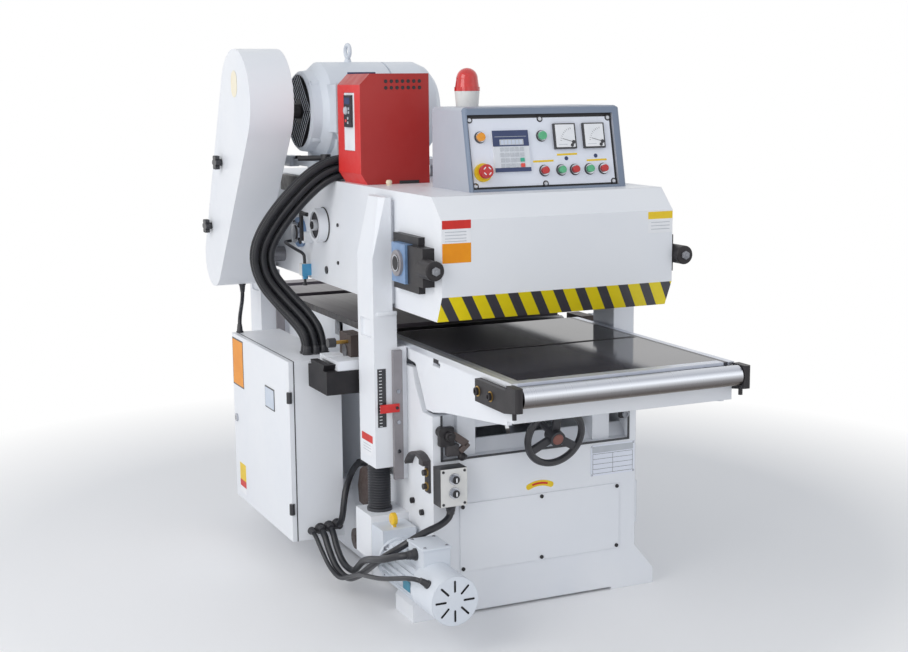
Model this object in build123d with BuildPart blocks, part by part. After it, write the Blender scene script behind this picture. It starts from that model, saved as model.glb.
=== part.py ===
# Double-sided planer: standing base, sliding infeed table, lifting head with feed track and two cutterheads
# Millimetres, +Z up, floor at zero, front towards -Y, belt guard and cabinet on the -X side
import os
from math import cos, pi, radians, sin, tan

from build123d import *

os.makedirs("parts", exist_ok=True)

# Clearances
slide_fit = 0.2
run_fit = 0.05
loose_fit = 0.4
cut_over = 1.0

# Base casting
base_half_w = 346.0
base_length = 1500.0
base_front_y = -base_length / 2
base_back_y = base_length / 2
base_under_z = 8.0
base_wall = 18.0
base_top_z = 790.0
base_step_z = base_top_z - 48.0
base_slope_z = base_step_z - 45.0
base_post_z = base_top_z - 170.0
base_step_y = base_front_y + 245.0
base_rise_y = base_step_y + 20.0
base_slope_y = base_front_y + 132.0
base_brow_y = base_slope_y + 12.0
base_post_y = base_front_y + 74.0
window_half_w = base_half_w - 31.0
window_sill_z = base_post_z - 132.0
foot_reach = 70.0
foot_top_z = 135.0
foot_edge_z = 50.0
foot_length = 136.0
pad_height = 24.0
pad_inner_x = base_half_w - 84.0
anchor_x = base_half_w + 39.0
anchor_y = base_back_y - 45.0
anchor_r = 9.0
rib_thick = 20.0
rib_side = 60.0
rib_top_z = base_top_z - 100.0
inner_x = base_half_w - base_wall
inner_low_z = base_under_z + base_wall

# Inclined ways under the infeed table, and the beam that carries the table screw
way_angle = 15.0
way_inner_x = 200.0
way_width = 60.0
way_front_z = base_post_z + 14.0
screw_beam_y = base_front_y + 46.0
screw_beam_depth = 26.0
screw_beam_top_z = base_post_z - 6.0
screw_beam_low_z = screw_beam_top_z - 48.0

# Front cover and small fittings on the base
cover_left_x = -base_half_w + 84.0
cover_right_x = base_half_w - 60.0
cover_low_z = foot_top_z
cover_top_z = window_sill_z - 143.0
cover_thick = 4.0
cover_screw_in = 9.0
screw_head_r = 6.0
screw_head_h = 3.0
plate_right_x = base_half_w - 5.0
plate_left_x = plate_right_x - 156.0
plate_top_z = window_sill_z - 14.0
plate_low_z = plate_top_z - 98.0
plate_thick = 1.5
strip_y = base_front_y + 17.0
strip_w = 30.0
strip_t = 7.0
strip_top_z = window_sill_z - 18.0
strip_low_z = strip_top_z - 85.0
hook_t = 26.0
bolt_r = 9.0
bolt_h = 10.0
washer_r = 13.0
washer_t = 3.0

# Columns, jack screws and lift
column_in_x = base_half_w + 30.0
column_out_x = column_in_x + 75.0
column_relief = 13.0
column_depth = 130.0
front_column_y = base_front_y + 256.0
rear_column_y = base_back_y - 110.0
lift_down = 85.0
gearbox_low_z = foot_top_z + 6.0
gearbox_top_z = gearbox_low_z + 142.0
gearbox_out_x = base_half_w + 124.0
gearbox_tube_r = 26.0
gearbox_tube_z = 60.0
gearbox_tube_floor = 6.0
bellows_l = 147.0
bellows_r = 36.0
bellows_root_r = 29.0
bellows_bore_r = 20.0
bellows_ribs = 16
screw_x = column_in_x + 40.0
screw_r = 15.0
screw_low_z = gearbox_tube_z + gearbox_tube_floor + lift_down + 14.0
column_low_z = gearbox_top_z + bellows_l
lug_low_z = base_top_z - 400.0
lug_top_z = base_top_z + 10.0
gib_thick = 14.0
gib_low_z = lug_low_z + 2.0
gib_top_z = base_top_z + 1.0
gib_in_x = column_in_x - 10.0
gib_out_x = column_in_x + 19.0
gib_screw_r = 6.0
gib_screw_h = 3.0
gib_screw_zs = (gib_low_z + 89.0, gib_low_z + 179.0, gib_low_z + 274.0)
scale_in_x = column_in_x + 39.0
scale_out_x = scale_in_x + 27.0
scale_top_z = lug_top_z - 64.0
scale_low_z = scale_top_z - 179.0
scale_t = 1.5
pointer_z = scale_low_z + 59.0
pointer_in_x = column_in_x + 2.0
pointer_out_x = column_in_x + 64.0
pointer_h = 26.0
pointer_t = 3.0

# Lower cutter unit
rail_front_y = front_column_y + column_depth / 2 + slide_fit + gib_thick + gib_screw_h + 0.8
rail_back_y = rail_front_y + 172.0
rail_low_z = base_top_z - 153.0
rail_shoulder_z = rail_low_z + 72.0
rail_top_z = rail_shoulder_z + 19.0
rail_out_x = base_half_w + 204.0
rail_tail_x = base_half_w + 74.0
dove_front_y = rail_front_y + 22.0
dove_back_y = rail_back_y - 23.0
dove_under = 10.0
carriage_side_gap = 4.0
carriage_top_z = rail_top_z + 12.0
carriage_out_x = base_half_w + 166.0
carriage_tail_x = base_half_w + 78.0
carriage_travel = 200.0
bed_thick = 22.0
table_top_z = base_top_z + bed_thick
lower_y = rail_front_y + 102.0
lower_r = 58.0
lower_z = table_top_z - lower_r
lower_half_l = base_half_w - 28.0
lower_journal_r = 20.0
knife_slot_w = 16.0
knife_slot_deep = 6.0
house_half_y = 50.0
house_top_z = table_top_z - 3.0
house_left_x = -base_half_w - 104.0
house_right_x = base_half_w + 24.0
house_w = 46.0
lower_pulley_x0 = carriage_tail_x + 4.0
lower_pulley_w = 46.0
lower_pulley_r = 44.0
lower_motor_y = lower_y + 459.0
lower_motor_z = 300.0
lower_motor_r = 112.0
lower_motor_x1 = base_half_w - 56.0
lower_motor_x0 = lower_motor_x1 - 460.0
lower_motor_pulley_r = 58.0
lower_shaft_r = 19.0
lower_shaft_in = 60.0
wall_hole_r = lower_motor_pulley_r + 8.0
belt_thick = 9.0
belt_margin = 4.0
knob_y = lower_y - 21.0
knob_z = house_top_z - 23.0
knob_rod_r = 6.0
knob_rod_l = 42.0
knob_rod_in = 18.0
knob_r = 15.0
knob_l = 24.0
quadrant_y = lower_y + 13.0
quadrant_z = 300.0
quadrant_t = 24.0
quadrant_pin_r = 20.0
quadrant_pin_l = 20.0
idler_y = lower_y + 94.0
idler_z = 105.0
idler_r = 34.0
idler_w = 26.0
idler_pin_r = 12.0
notch_y = rail_back_y + 233.0
notch_w = 76.0
rib_stations = (lower_motor_y - 300.0, lower_motor_y + 170.0, base_back_y - 150.0)
way_back_y = rail_front_y - 29.0
ledge_flat = 14.0
ledge_back_y = base_front_y + base_wall + 46.0
ledge_rise = 38.0

# Tables
table_thick = 16.0
table_low_z = table_top_z - table_thick
table_half_w = base_half_w
table_strip_w = 34.0
table_front_y = base_front_y - 479.0
table_back_y = lower_y - 70.0
table_lip_y = table_front_y - 33.0
table_lip_thick = 9.0
bed_front_y = rail_back_y
bed_back_y = base_back_y + 210.0
bed_slot_w = 80.0
bed_rail_w = 44.0
bed_rail_h = 52.0

# Infeed casting
casting_half_w = table_half_w - 6.0
casting_wall = 14.0
casting_deck = 12.0
casting_back_y = base_step_y - 5.0
casting_low_z = base_post_z + 10.0
casting_beam_front_y = table_lip_y
casting_beam_depth = 37.0
casting_beam_back_y = casting_beam_front_y + casting_beam_depth
casting_beam_low_z = table_low_z - 91.0
casting_beam_top_z = table_low_z - 51.0
casting_web = 12.0
casting_hole_y = base_front_y - 19.0
casting_hole_w = 50.0
casting_hole_z = table_low_z - 17.0
casting_hole_h = 15.0
slide_front_y = base_front_y + base_wall + 6.0
slide_back_y = base_step_y - 25.0
slide_side_gap = 2.0

# Front roller
roller_r = 28.5
roller_y = table_lip_y - roller_r - 1.5
roller_z = table_top_z - roller_r - 4.5
roller_half_l = casting_half_w - 3.0
roller_pin_r = 10.0
bracket_thick = 22.0
bracket_back_y = table_lip_y + 188.0
bracket_front_y = roller_y - roller_r - 1.5
bracket_low_z = table_low_z - 63.0
bracket_toe_z = table_low_z - 51.0
bracket_bolt_r = 9.0
bracket_bolt_h = 6.0
bracket_bolt_z = table_low_z - 33.0
bracket_bolt_ys = (bracket_back_y - 18.0, bracket_back_y - 96.0)
bracket_wall = 4.0
bracket_nose_r = 9.0
jack_bolt_r = 6.0
jack_bolt_l = 20.0

# Handwheel and its screw
wheel_y = base_front_y - 109.0
wheel_z = base_post_z - 72.0
wheel_r = 100.0
wheel_rim_r = 11.0
wheel_hub_r = 24.0
wheel_hub_l = 44.0
wheel_spokes = 3
wheel_spoke_w = 24.0
wheel_spoke_t = 11.0
wheel_spoke_start = 14.0
wheel_shaft_r = 11.0
wheel_shaft_l = 310.0
nut_half_w = 24.0
nut_front_y = base_front_y + 120.0
nut_depth = 34.0
nut_low_z = base_post_z - 24.0

# Lock lever
lock_x = -base_half_w + 24.0
lock_z = base_post_z - 46.0
lock_boss_r = 16.0
lock_boss_l = 26.0
lock_arm_l = 100.0
lock_arm_r = 7.0
lock_ball_r = 13.0
lock_lean = 38.0

# Lift motor
gearbox_front_y = front_column_y - column_depth / 2
lift_motor_x = -base_half_w - 74.0
lift_motor_z = gearbox_low_z + 29.0
lift_motor_r = 71.0
lift_motor_root_r = 62.0
lift_motor_fins = 24
lift_fin_t = 3.0
worm_front_y = gearbox_front_y - 91.0
worm_x0 = lift_motor_x - 48.0
worm_x1 = lift_motor_x + 60.0
worm_low_z = foot_top_z + 2.0
worm_top_z = lift_motor_z + 92.0
lift_fan_y = worm_front_y - 411.0
lift_fan_cover_l = 150.0
lift_fan_slots = 8
lift_fan_slot_w = 6.0
lift_flange_r = 68.0
lift_flange_t = 14.0
lift_fin_gap = 20.0
terminal_x0 = lift_motor_x - 37.0
terminal_x1 = lift_motor_x + 46.0
terminal_y1 = worm_front_y - 170.0
terminal_y0 = terminal_y1 - 110.0
terminal_top_z = lift_motor_z + 108.0
terminal_low_z = lift_motor_z + 40.0
oil_plug_r = 8.0
oil_plug_h = 24.0
oil_cap_r = 18.5
oil_cap_t = 10.0
wall_bolts = ((worm_front_y + 50.0, gearbox_top_z + 47.0), (worm_front_y - 21.0, gearbox_top_z + 28.0))

# Feed track: the pads press on the rough board, the upper cutter takes it down to the board height
board_h = 97.0
cut_depth = 4.1
drum_r = 135.0
track_thick = 10.0
pad_thick = 12.0
pad_sink = 0.5
track_z = table_top_z + board_h + cut_depth + pad_thick - pad_sink + track_thick + loose_fit + drum_r

# Head
head_out_x = column_in_x
head_side_t = 25.0
head_in_x = head_out_x - head_side_t
head_low_z = track_z - drum_r - 18.0
head_top_z = track_z + drum_r + 63.0
head_front_y = front_column_y - 336.0
head_back_y = rear_column_y + 116.0
head_deck = 12.0
nose_front_y = head_front_y - 64.0
nose_chin_y = head_front_y - 28.0
nose_brow_z = head_top_z - 63.0
nose_band_z = head_low_z + 74.0
nose_sheet = 5.0
rear_cover_low_z = head_low_z + 93.0
column_ledge_z = head_low_z - 10.0
column_ledge_h = 22.0
column_lean_z = head_low_z + 154.0
column_top_z = head_top_z - 18.0
column_lean = 31.0
column_facet = 26.0
column_edge = 0.5
column_pad_in = 16.0
column_pad_drop = 14.0
recess_w = 84.0
recess_top_z = column_ledge_z - 24.0
recess_low_z = recess_top_z - 55.0
recess_deep = 8.0

# Upper cutterhead, outfeed roller and the track's drums
upper_r = 64.0
upper_y = head_back_y - 238.0
upper_z = table_top_z + board_h + upper_r
upper_half_l = head_in_x - 35.0
upper_shaft_r = 27.0
outfeed_r = 45.0
outfeed_y = upper_y + 150.0
outfeed_z = table_top_z + board_h + outfeed_r + 2.0
outfeed_half_l = head_in_x - 33.0
outfeed_pin_r = 18.0
bed_slots = (upper_y + 30.0, bed_back_y - 124.0)
front_drum_y = head_front_y + drum_r + 11.0
rear_drum_y = upper_y - upper_r - drum_r - 9.0
drum_half_l = head_in_x - 51.0
drum_wall = 14.0
drum_web_x = drum_half_l - 100.0
drum_web_t = 20.0
drum_shaft_r = 25.0
track_half_w = drum_half_l + 10.0
pad_pitch = 71.0
pad_len = 62.0
end_pad_len = 54.0
end_pad_step = 25.0
takeup_travel = 10.0
takeup_frame_t = 20.0
takeup_y0 = front_drum_y - 94.0
takeup_y1 = front_drum_y + 94.0
takeup_z0 = track_z - 82.0
takeup_z1 = track_z + 80.0
takeup_block_y = 50.0
takeup_block_z = 57.0
takeup_block_out = head_out_x + 44.0
takeup_ring_out = takeup_block_out + 8.0
takeup_ring_r = 38.0
takeup_slot_gap = 3.0
spring_box_y0 = takeup_y0 - 66.0
spring_box_z0 = track_z - 55.0
spring_box_z1 = track_z + 55.0
spring_box_out = head_out_x + 36.0
spring_r = 28.0
spring_round = 5.0
spring_tip_r = 11.0
spring_tip_l = 6.0
spring_front_y = spring_box_y0 - 81.0
flange_r = 52.0
flange_ring_r = 36.4
flange_t = 26.0
flange_base_t = 14.3
disc_y = rear_drum_y - 235.0
disc_z = track_z + 45.0
disc_r = 57.0
disc_t = 35.0
disc_rim = 12.0
disc_deep = 8.0
disc_hub_r = 18.0
disc_hub_proud = 6.0
boss_y = rear_drum_y - 112.0
boss_z = track_z - 8.0
boss_r = 20.0
boss_l = 34.0
ratchet_t = 8.0
ratchet_half_w = 10.0
ratchet_up = 92.0
ratchet_grip_z = 84.0
ratchet_grip_l = 52.0
ratchet_grip_r = 7.0
side_bolt_r = 6.0
side_bolt_h = 4.0
side_bolts = ((rear_drum_y - 373.0, track_z + 55.0), (rear_drum_y - 370.0, track_z - 70.0))
side_plug = (rear_drum_y - 254.0, track_z - 106.0)

# Upper motor, belt drive and guard
motor_plate_z0 = head_top_z + 38.0
motor_plate_z1 = motor_plate_z0 + 20.0
motor_r = 163.0
motor_bell_r = motor_r - 30.0
motor_bell_l = 38.0
motor_shoulder_l = 67.0
motor_corner = 8.0
motor_y = upper_y - 347.0
motor_z = motor_plate_z1 + motor_r + 2.0
motor_x0 = -head_out_x - 47.0
motor_x1 = motor_x0 + 480.0
motor_seam_x = motor_x1 - 186.0
motor_seam_w = 6.0
motor_seam_deep = 5.0
motor_tail = ((70.0, 0.0), (36.0, 14.0), (12.0, 40.0), (0.0, 75.0))
motor_grille_deep = 10.0
motor_grille_r = motor_bell_r - 12.0
motor_grille_pitch = 19.0
motor_grille_bar_r = 3.5
motor_grille_hub_r = 42.0
motor_grille_lean = 48.0
motor_box_x0 = motor_x0 + 57.0
motor_box_x1 = motor_box_x0 + 150.0
motor_box_y0 = motor_y - 222.0
motor_box_y1 = motor_y - 100.0
motor_box_low_z = motor_z - 66.0
motor_box_top_z = motor_z + 88.0
motor_box_lid = 8.0
motor_shaft_r = 24.0
motor_shaft_in = 60.0
motor_foot_in = 70.0
motor_foot_out = 150.0
motor_foot_end = 14.0
motor_foot_rise = 75.0
motor_eye_x = motor_x0 + 180.0
motor_eye_r = 21.5
motor_eye_bar_r = 6.5
motor_eye_boss_r = 14.0
motor_eye_up = 36.0
motor_plate_x0 = motor_x0 + 23.0
motor_plate_x1 = motor_x1 + 10.0
motor_plate_half_y = motor_r + 2.0
motor_post_r = 22.0
motor_post_in = 40.0
motor_post_x = motor_plate_x0 + 70.0
stud_arm_out = 12.0
stud_arm_in = 20.0
stud_arm_back = 30.0
stud_arm_half_z = 18.0
pulley_x0 = motor_x0 - 169.0
pulley_w = 66.0
pulley_nut = 8.0
motor_pulley_r = 50.0
upper_pulley_r = 40.0
guard_out_x = pulley_x0 - 48.0
guard_in_x = pulley_x0 + 99.0
guard_sheet = 3.0
guard_top_y = motor_y + 9.0
guard_top_z = motor_z + 34.0
guard_top_r = 173.0
guard_low_y = upper_y - 2.0
guard_low_z = upper_z + 2.0
guard_low_r = 103.0
guard_knobs = ((guard_top_y + 188.0, guard_top_z - 207.0), (guard_low_y + 11.0, guard_low_z + 111.0))
guard_knob_r = 26.0
guard_lobe_r = 8.0
guard_lobes = 6
guard_neck_r = 12.0
guard_knob_l = 26.0
guard_neck_l = 10.4
guard_stud_r = 9.0
guard_pin_r = 5.0
clamp_x = motor_plate_x0 + 18.0
clamp_y = motor_y - 145.0
clamp_pin_r = 8.0
clamp_hub_r = 17.0
clamp_hub_h = 26.0
clamp_arm_z = 14.0
clamp_arm_r = 9.0
clamp_arm_l = 92.0
clamp_lean = 20.0

# Inverter box
inverter_x0 = -head_out_x
inverter_x1 = inverter_x0 + 233.0
inverter_y1 = motor_y - 255.0
inverter_y0 = inverter_y1 - 200.0
inverter_top_z = head_top_z + 344.0
inverter_top_cut = 34.0
inverter_low_cut = 22.0
vent_x = inverter_x0 + 82.0
vent_z = inverter_top_z - 24.0
vent_pitch_x = 19.0
vent_pitch_z = 20.0
vent_w = 10.0
vent_h = 8.0
vent_deep = 4.0
bay_half_y = 46.0
bay_low_z = inverter_top_z - 240.0
bay_top_z = inverter_top_z - 58.0
bay_deep = 4.0
keypad_half_y = 30.0
keypad_low_z = inverter_top_z - 166.0
keypad_top_z = inverter_top_z - 66.0
keypad_proud = 7.0
gland_x0 = inverter_x0 + 76.0
gland_x1 = gland_x0 + 64.0
gland_y1 = inverter_y1 + 82.0
gland_top_z = head_top_z + 82.0

# Control panel
panel_mid_x = 41.0
panel_half_w = 255.0
panel_low_y = head_front_y + 84.0
panel_high_y = panel_low_y + 52.0
panel_high_z = head_top_z + 239.0
panel_roof_z = panel_high_z + 4.0
panel_back_y = panel_low_y + 276.0
panel_brow = 14.0
panel_corner_r = 14.0
panel_recess = 10.0
panel_sheet = 3.0
panel_right_more = 13.0
panel_gap_left = 4.0
panel_gap_right = 9.0
panel_gap_low = 7.0
panel_gap_high = 10.0
panel_plate_half_w = panel_half_w - 19.0
panel_plate_mid_u = -5.0
panel_plate_low_v = 15.0
panel_plate_high_v = 216.0
panel_cavity_edge = 14.0
panel_cavity_deep = 150.0
button_v = 57.5
buttons_u = (-7.0, 50.0, 96.0, 146.0, 194.0)
button_r = 10.5
button_root = 12.0
bezel_r = 15.0
bezel_h = 7.0
button_proud = 16.0
lamp_amber_u = -208.0
lamp_green_u = -6.0
lamp_v = 161.0
lamp_r = 12.5
lamp_h = 7.0
stop_u = -210.0
stop_v = button_v
stop_collar_r = 27.0
stop_collar_h = 8.0
stop_r = 20.0
stop_neck = 18.0
stop_proud = 34.0
meter_u = (70.0, 169.0)
meter_v = 158.0
meter_w = 73.0
meter_h = 76.0
meter_proud = 9.0
meter_frame = 7.0
meter_face_h = 50.0
meter_face_up = 4.0
meter_face_deep = 2.0
meter_stud_r = 5.0
keyunit_u = -112.0
keyunit_v = 117.0
keyunit_w = 118.0
keyunit_h = 124.0
keyunit_proud = 7.0
key_w = 13.0
key_h = 11.0
key_pitch_u = 16.4
key_pitch_v = 16.0
key_proud = 2.0
display_up = 34.0
display_h = 26.0
display_side = 12.0

# Beacon
beacon_x = panel_mid_x - panel_half_w + 99.0
beacon_r = 38.0
beacon_foot_r = 34.0
beacon_y = panel_back_y - beacon_r - 2.0
beacon_base_h = 46.0
beacon_base_z = panel_roof_z + beacon_base_h
beacon_ring_r = beacon_r + 1.0
beacon_ring_h = 12.0
beacon_dome_r = beacon_r - 1.5
beacon_crown_r = beacon_r - 5.0
beacon_crown_h = 36.0

# Cabinet on the left side
cabinet_x1 = -base_half_w - 94.0
cabinet_x0 = cabinet_x1 - 175.0
cabinet_y0 = rail_back_y + 3.0
cabinet_y1 = cabinet_y0 + 632.0
cabinet_z0 = 130.0
cabinet_z1 = cabinet_z0 + 588.0
cabinet_sheet = 4.0
cabinet_rail_h = 40.0
cabinet_rail_zs = (cabinet_z0 + 100.0, cabinet_z1 - 98.0)
cabinet_gear_zs = (cabinet_z0 + 150.0, cabinet_z0 + 350.0)
cabinet_gear_h = 120.0
cabinet_gear_in = 90.0
cabinet_gear_t = 60.0
door_thick = 15.0
door_skin = 3.0
door_rim = 6.0
door_gap = 0.3
hinge_zs = (cabinet_z0 + 108.0, cabinet_z0 + 473.0)
hinge_h = 34.0
hinge_r = 7.0
door_window_y = cabinet_y0 + 205.0
door_window_w = 91.0
door_window_z = cabinet_z1 - 155.0
door_window_h = 64.0
door_window_t = 2.0
door_lock_y = cabinet_y1 - 34.0
door_lock_z = cabinet_z0 + 288.0
door_lock_r = 14.0
door_lock_h = 6.0

# Switch box beside the window
switch_x0 = -base_half_w
switch_x1 = switch_x0 + 85.0
switch_front_y = base_front_y - 54.0
switch_z1 = window_sill_z - 16.0
switch_z0 = switch_z1 - 114.0
switch_screw_r = 3.5
switch_screw_in = 8.0
switch_screw_deep = 4.0
selector_x = switch_x0 + 43.0
selector_zs = (switch_z0 + 41.0, switch_z0 + 83.0)
selector_r = 12.0
selector_ring_r = 17.0
selector_ring_h = 5.0
selector_in = 19.0
selector_proud = 14.0
selector_bar_h = 5.0
selector_bar_half_w = 3.0
selector_bar_end = 2.0

# Limit switch under the head's left side
limit_x = -head_out_x - 19.0
limit_y = boss_y + 32.0
limit_w = 30.0
limit_z0 = head_low_z - 2.0
limit_z1 = limit_z0 + 53.0
limit_nose_r = 11.0
limit_nose_h = 12.0
limit_bore_l = 34.0
limit_tip_z = limit_z0 - 23.0
plunger_r = 5.0
plunger_in = 24.0
plunger_tip_r = 8.0
plunger_tip_h = 7.0

# Conduits and cables
conduit_r = 12.0
conduit_pitch = 27.5
cable_r = 10.5
thin_cable_r = 7.0
guard_cable_r = 7.0
switch_cable_r = 5.5

# Stations and directions derived from the sizes above
columns = [(side, y) for side in (-1, 1) for y in (front_column_y, rear_column_y)]
way_tan = tan(radians(way_angle))
way_dir = Vector(0, -cos(radians(way_angle)), -sin(radians(way_angle)))
panel_slope = Vector(0, panel_high_y - panel_low_y, panel_high_z - head_top_z)
panel_normal = Vector(0, -panel_slope.Z, panel_slope.Y).normalized()
panel_plane = Plane((panel_mid_x, panel_low_y, head_top_z), x_dir=(1, 0, 0), z_dir=panel_normal)
plate_front = panel_plane.offset(panel_sheet - panel_recess)
column_gap_x = column_in_x + slide_fit


def block(x0, x1, y0, y1, z0, z1, mode=Mode.ADD):
    with Locations(((x0 + x1) / 2, (y0 + y1) / 2, (z0 + z1) / 2)):
        Box(abs(x1 - x0), abs(y1 - y0), abs(z1 - z0), mode=mode)


def rod_x(x0, x1, y, z, r, mode=Mode.ADD):
    with Locations(Plane((min(x0, x1), y, z), z_dir=(1, 0, 0))):
        Cylinder(r, abs(x1 - x0), align=(Align.CENTER, Align.CENTER, Align.MIN), mode=mode)


def rod_y(x, y0, y1, z, r, mode=Mode.ADD):
    with Locations(Plane((x, min(y0, y1), z), z_dir=(0, 1, 0))):
        Cylinder(r, abs(y1 - y0), align=(Align.CENTER, Align.CENTER, Align.MIN), mode=mode)


def rod_z(x, y, z0, z1, r, mode=Mode.ADD):
    with Locations((x, y, min(z0, z1))):
        Cylinder(r, abs(z1 - z0), align=(Align.CENTER, Align.CENTER, Align.MIN), mode=mode)


def rod_along(start, direction, length, r, mode=Mode.ADD):
    with Locations(Plane(start, z_dir=direction)):
        Cylinder(r, length, align=(Align.CENTER, Align.CENTER, Align.MIN), mode=mode)


def side_shape(points, x0, x1, mode=Mode.ADD):
    with BuildSketch(Plane.YZ.offset(x0)) as shape:
        with BuildLine():
            Polyline(*points, close=True)
        make_face()
    extrude(shape.sketch, amount=x1 - x0, mode=mode)


def end_shape(points, y0, y1, mode=Mode.ADD):
    with BuildSketch(Plane((0, y0, 0), x_dir=(1, 0, 0), z_dir=(0, -1, 0))) as shape:
        with BuildLine():
            Polyline(*points, close=True)
        make_face()
    extrude(shape.sketch, amount=y0 - y1, mode=mode)


def two_circle_hull(x0, x1, first, second, grow=0.0, mode=Mode.ADD):
    with BuildSketch(Plane.YZ.offset(x0)) as shape:
        for y, z, r in (first, second):
            with Locations((y, z)):
                Circle(r + grow)
        make_hull()
    extrude(shape.sketch, amount=x1 - x0, mode=mode)


def way_z(y):
    return way_front_z + (y - base_front_y) * way_tan


def panel_rod(u, v, start, end, r, mode=Mode.ADD):
    with BuildSketch(plate_front.offset(start)) as shape:
        with Locations((u, v)):
            Circle(r)
    extrude(shape.sketch, amount=end - start, mode=mode)


def panel_block(u, v, w, h, start, end, mode=Mode.ADD):
    with BuildSketch(plate_front.offset(start)) as shape:
        with Locations((u, v)):
            Rectangle(w, h)
    extrude(shape.sketch, amount=end - start, mode=mode)


# Base: open-topped casting with stepped side walls, feet, column lugs and inclined ways
with BuildPart() as base_casting:
    side_shape(
        (
            (base_front_y, base_under_z),
            (base_front_y, base_post_z),
            (base_post_y, base_post_z),
            (base_slope_y, base_slope_z),
            (base_brow_y, base_step_z),
            (base_step_y, base_step_z),
            (base_rise_y, base_top_z),
            (base_back_y, base_top_z),
            (base_back_y, base_under_z),
        ),
        -base_half_w,
        base_half_w,
    )
    block(
        -inner_x, inner_x, base_front_y + base_wall, base_back_y - base_wall, inner_low_z,
        base_top_z + cut_over,
        Mode.SUBTRACT,
    )
    block(
        -window_half_w, window_half_w, base_front_y - cut_over, base_front_y + base_wall + cut_over,
        window_sill_z,
        base_post_z + cut_over, Mode.SUBTRACT,
    )
    for y in rib_stations:
        block(-inner_x, inner_x, y - rib_thick / 2, y + rib_thick / 2, inner_low_z, rib_top_z)
        block(
            -inner_x + rib_side, inner_x - rib_side, y - rib_thick, y + rib_thick, inner_low_z,
            rib_top_z - rib_side,
            Mode.SUBTRACT,
        )
    for side in (-1, 1):
        side_shape(
            (
                (base_front_y + base_wall, inner_low_z),
                (base_front_y + base_wall, way_z(base_front_y + base_wall)),
                (way_back_y, way_z(way_back_y)),
                (way_back_y, inner_low_z),
            ),
            side * way_inner_x,
            side * (way_inner_x + way_width),
        )
    side_shape(
        (
            (base_front_y + base_wall, window_sill_z - 40),
            (base_front_y + base_wall, window_sill_z),
            (base_front_y + base_wall + ledge_flat, window_sill_z),
            (ledge_back_y, window_sill_z + ledge_rise),
            (ledge_back_y, window_sill_z - 4),
        ),
        -inner_x,
        inner_x,
    )
    block(
        -inner_x, inner_x, screw_beam_y - screw_beam_depth / 2, screw_beam_y + screw_beam_depth / 2,
        screw_beam_low_z, screw_beam_top_z,
    )
    rod_along((0, wheel_y, wheel_z), way_dir * -1, wheel_shaft_l, wheel_shaft_r + run_fit, Mode.SUBTRACT)
    for side in (-1, 1):
        for end in (-1, 1):
            end_shape(
                (
                    (side * base_half_w, pad_height),
                    (side * (base_half_w + foot_reach), pad_height),
                    (side * (base_half_w + foot_reach), foot_edge_z),
                    (side * base_half_w, foot_top_z),
                ),
                end * base_back_y,
                end * (base_back_y - foot_length),
            )
            block(
                side * pad_inner_x, side * (base_half_w + foot_reach),
                end * base_back_y, end * (base_back_y - foot_length), 0, pad_height,
            )
            rod_z(side * anchor_x, end * anchor_y, -cut_over, foot_top_z, anchor_r, Mode.SUBTRACT)
    for side, y in columns:
        lug_half = column_depth / 2 + slide_fit
        block(side * base_half_w, side * column_in_x, y - lug_half, y + lug_half, lug_low_z, lug_top_z)
        rod_z(side * screw_x, y, -cut_over, gearbox_low_z, gearbox_tube_r + 10 * loose_fit, Mode.SUBTRACT)
    wall_out = base_half_w + cut_over
    wall_in = inner_x - cut_over
    block(-wall_out, wall_out, rail_front_y, rail_back_y, rail_low_z, base_top_z + cut_over, Mode.SUBTRACT)
    rod_x(wall_in, wall_out, lower_motor_y, lower_motor_z, wall_hole_r, Mode.SUBTRACT)
    block(-wall_out, -wall_in, notch_y, notch_y + notch_w, base_step_z, base_top_z + cut_over, Mode.SUBTRACT)

base_casting.part.label = "base_casting"
export_step(base_casting.part, "parts/base_casting.step")

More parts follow.
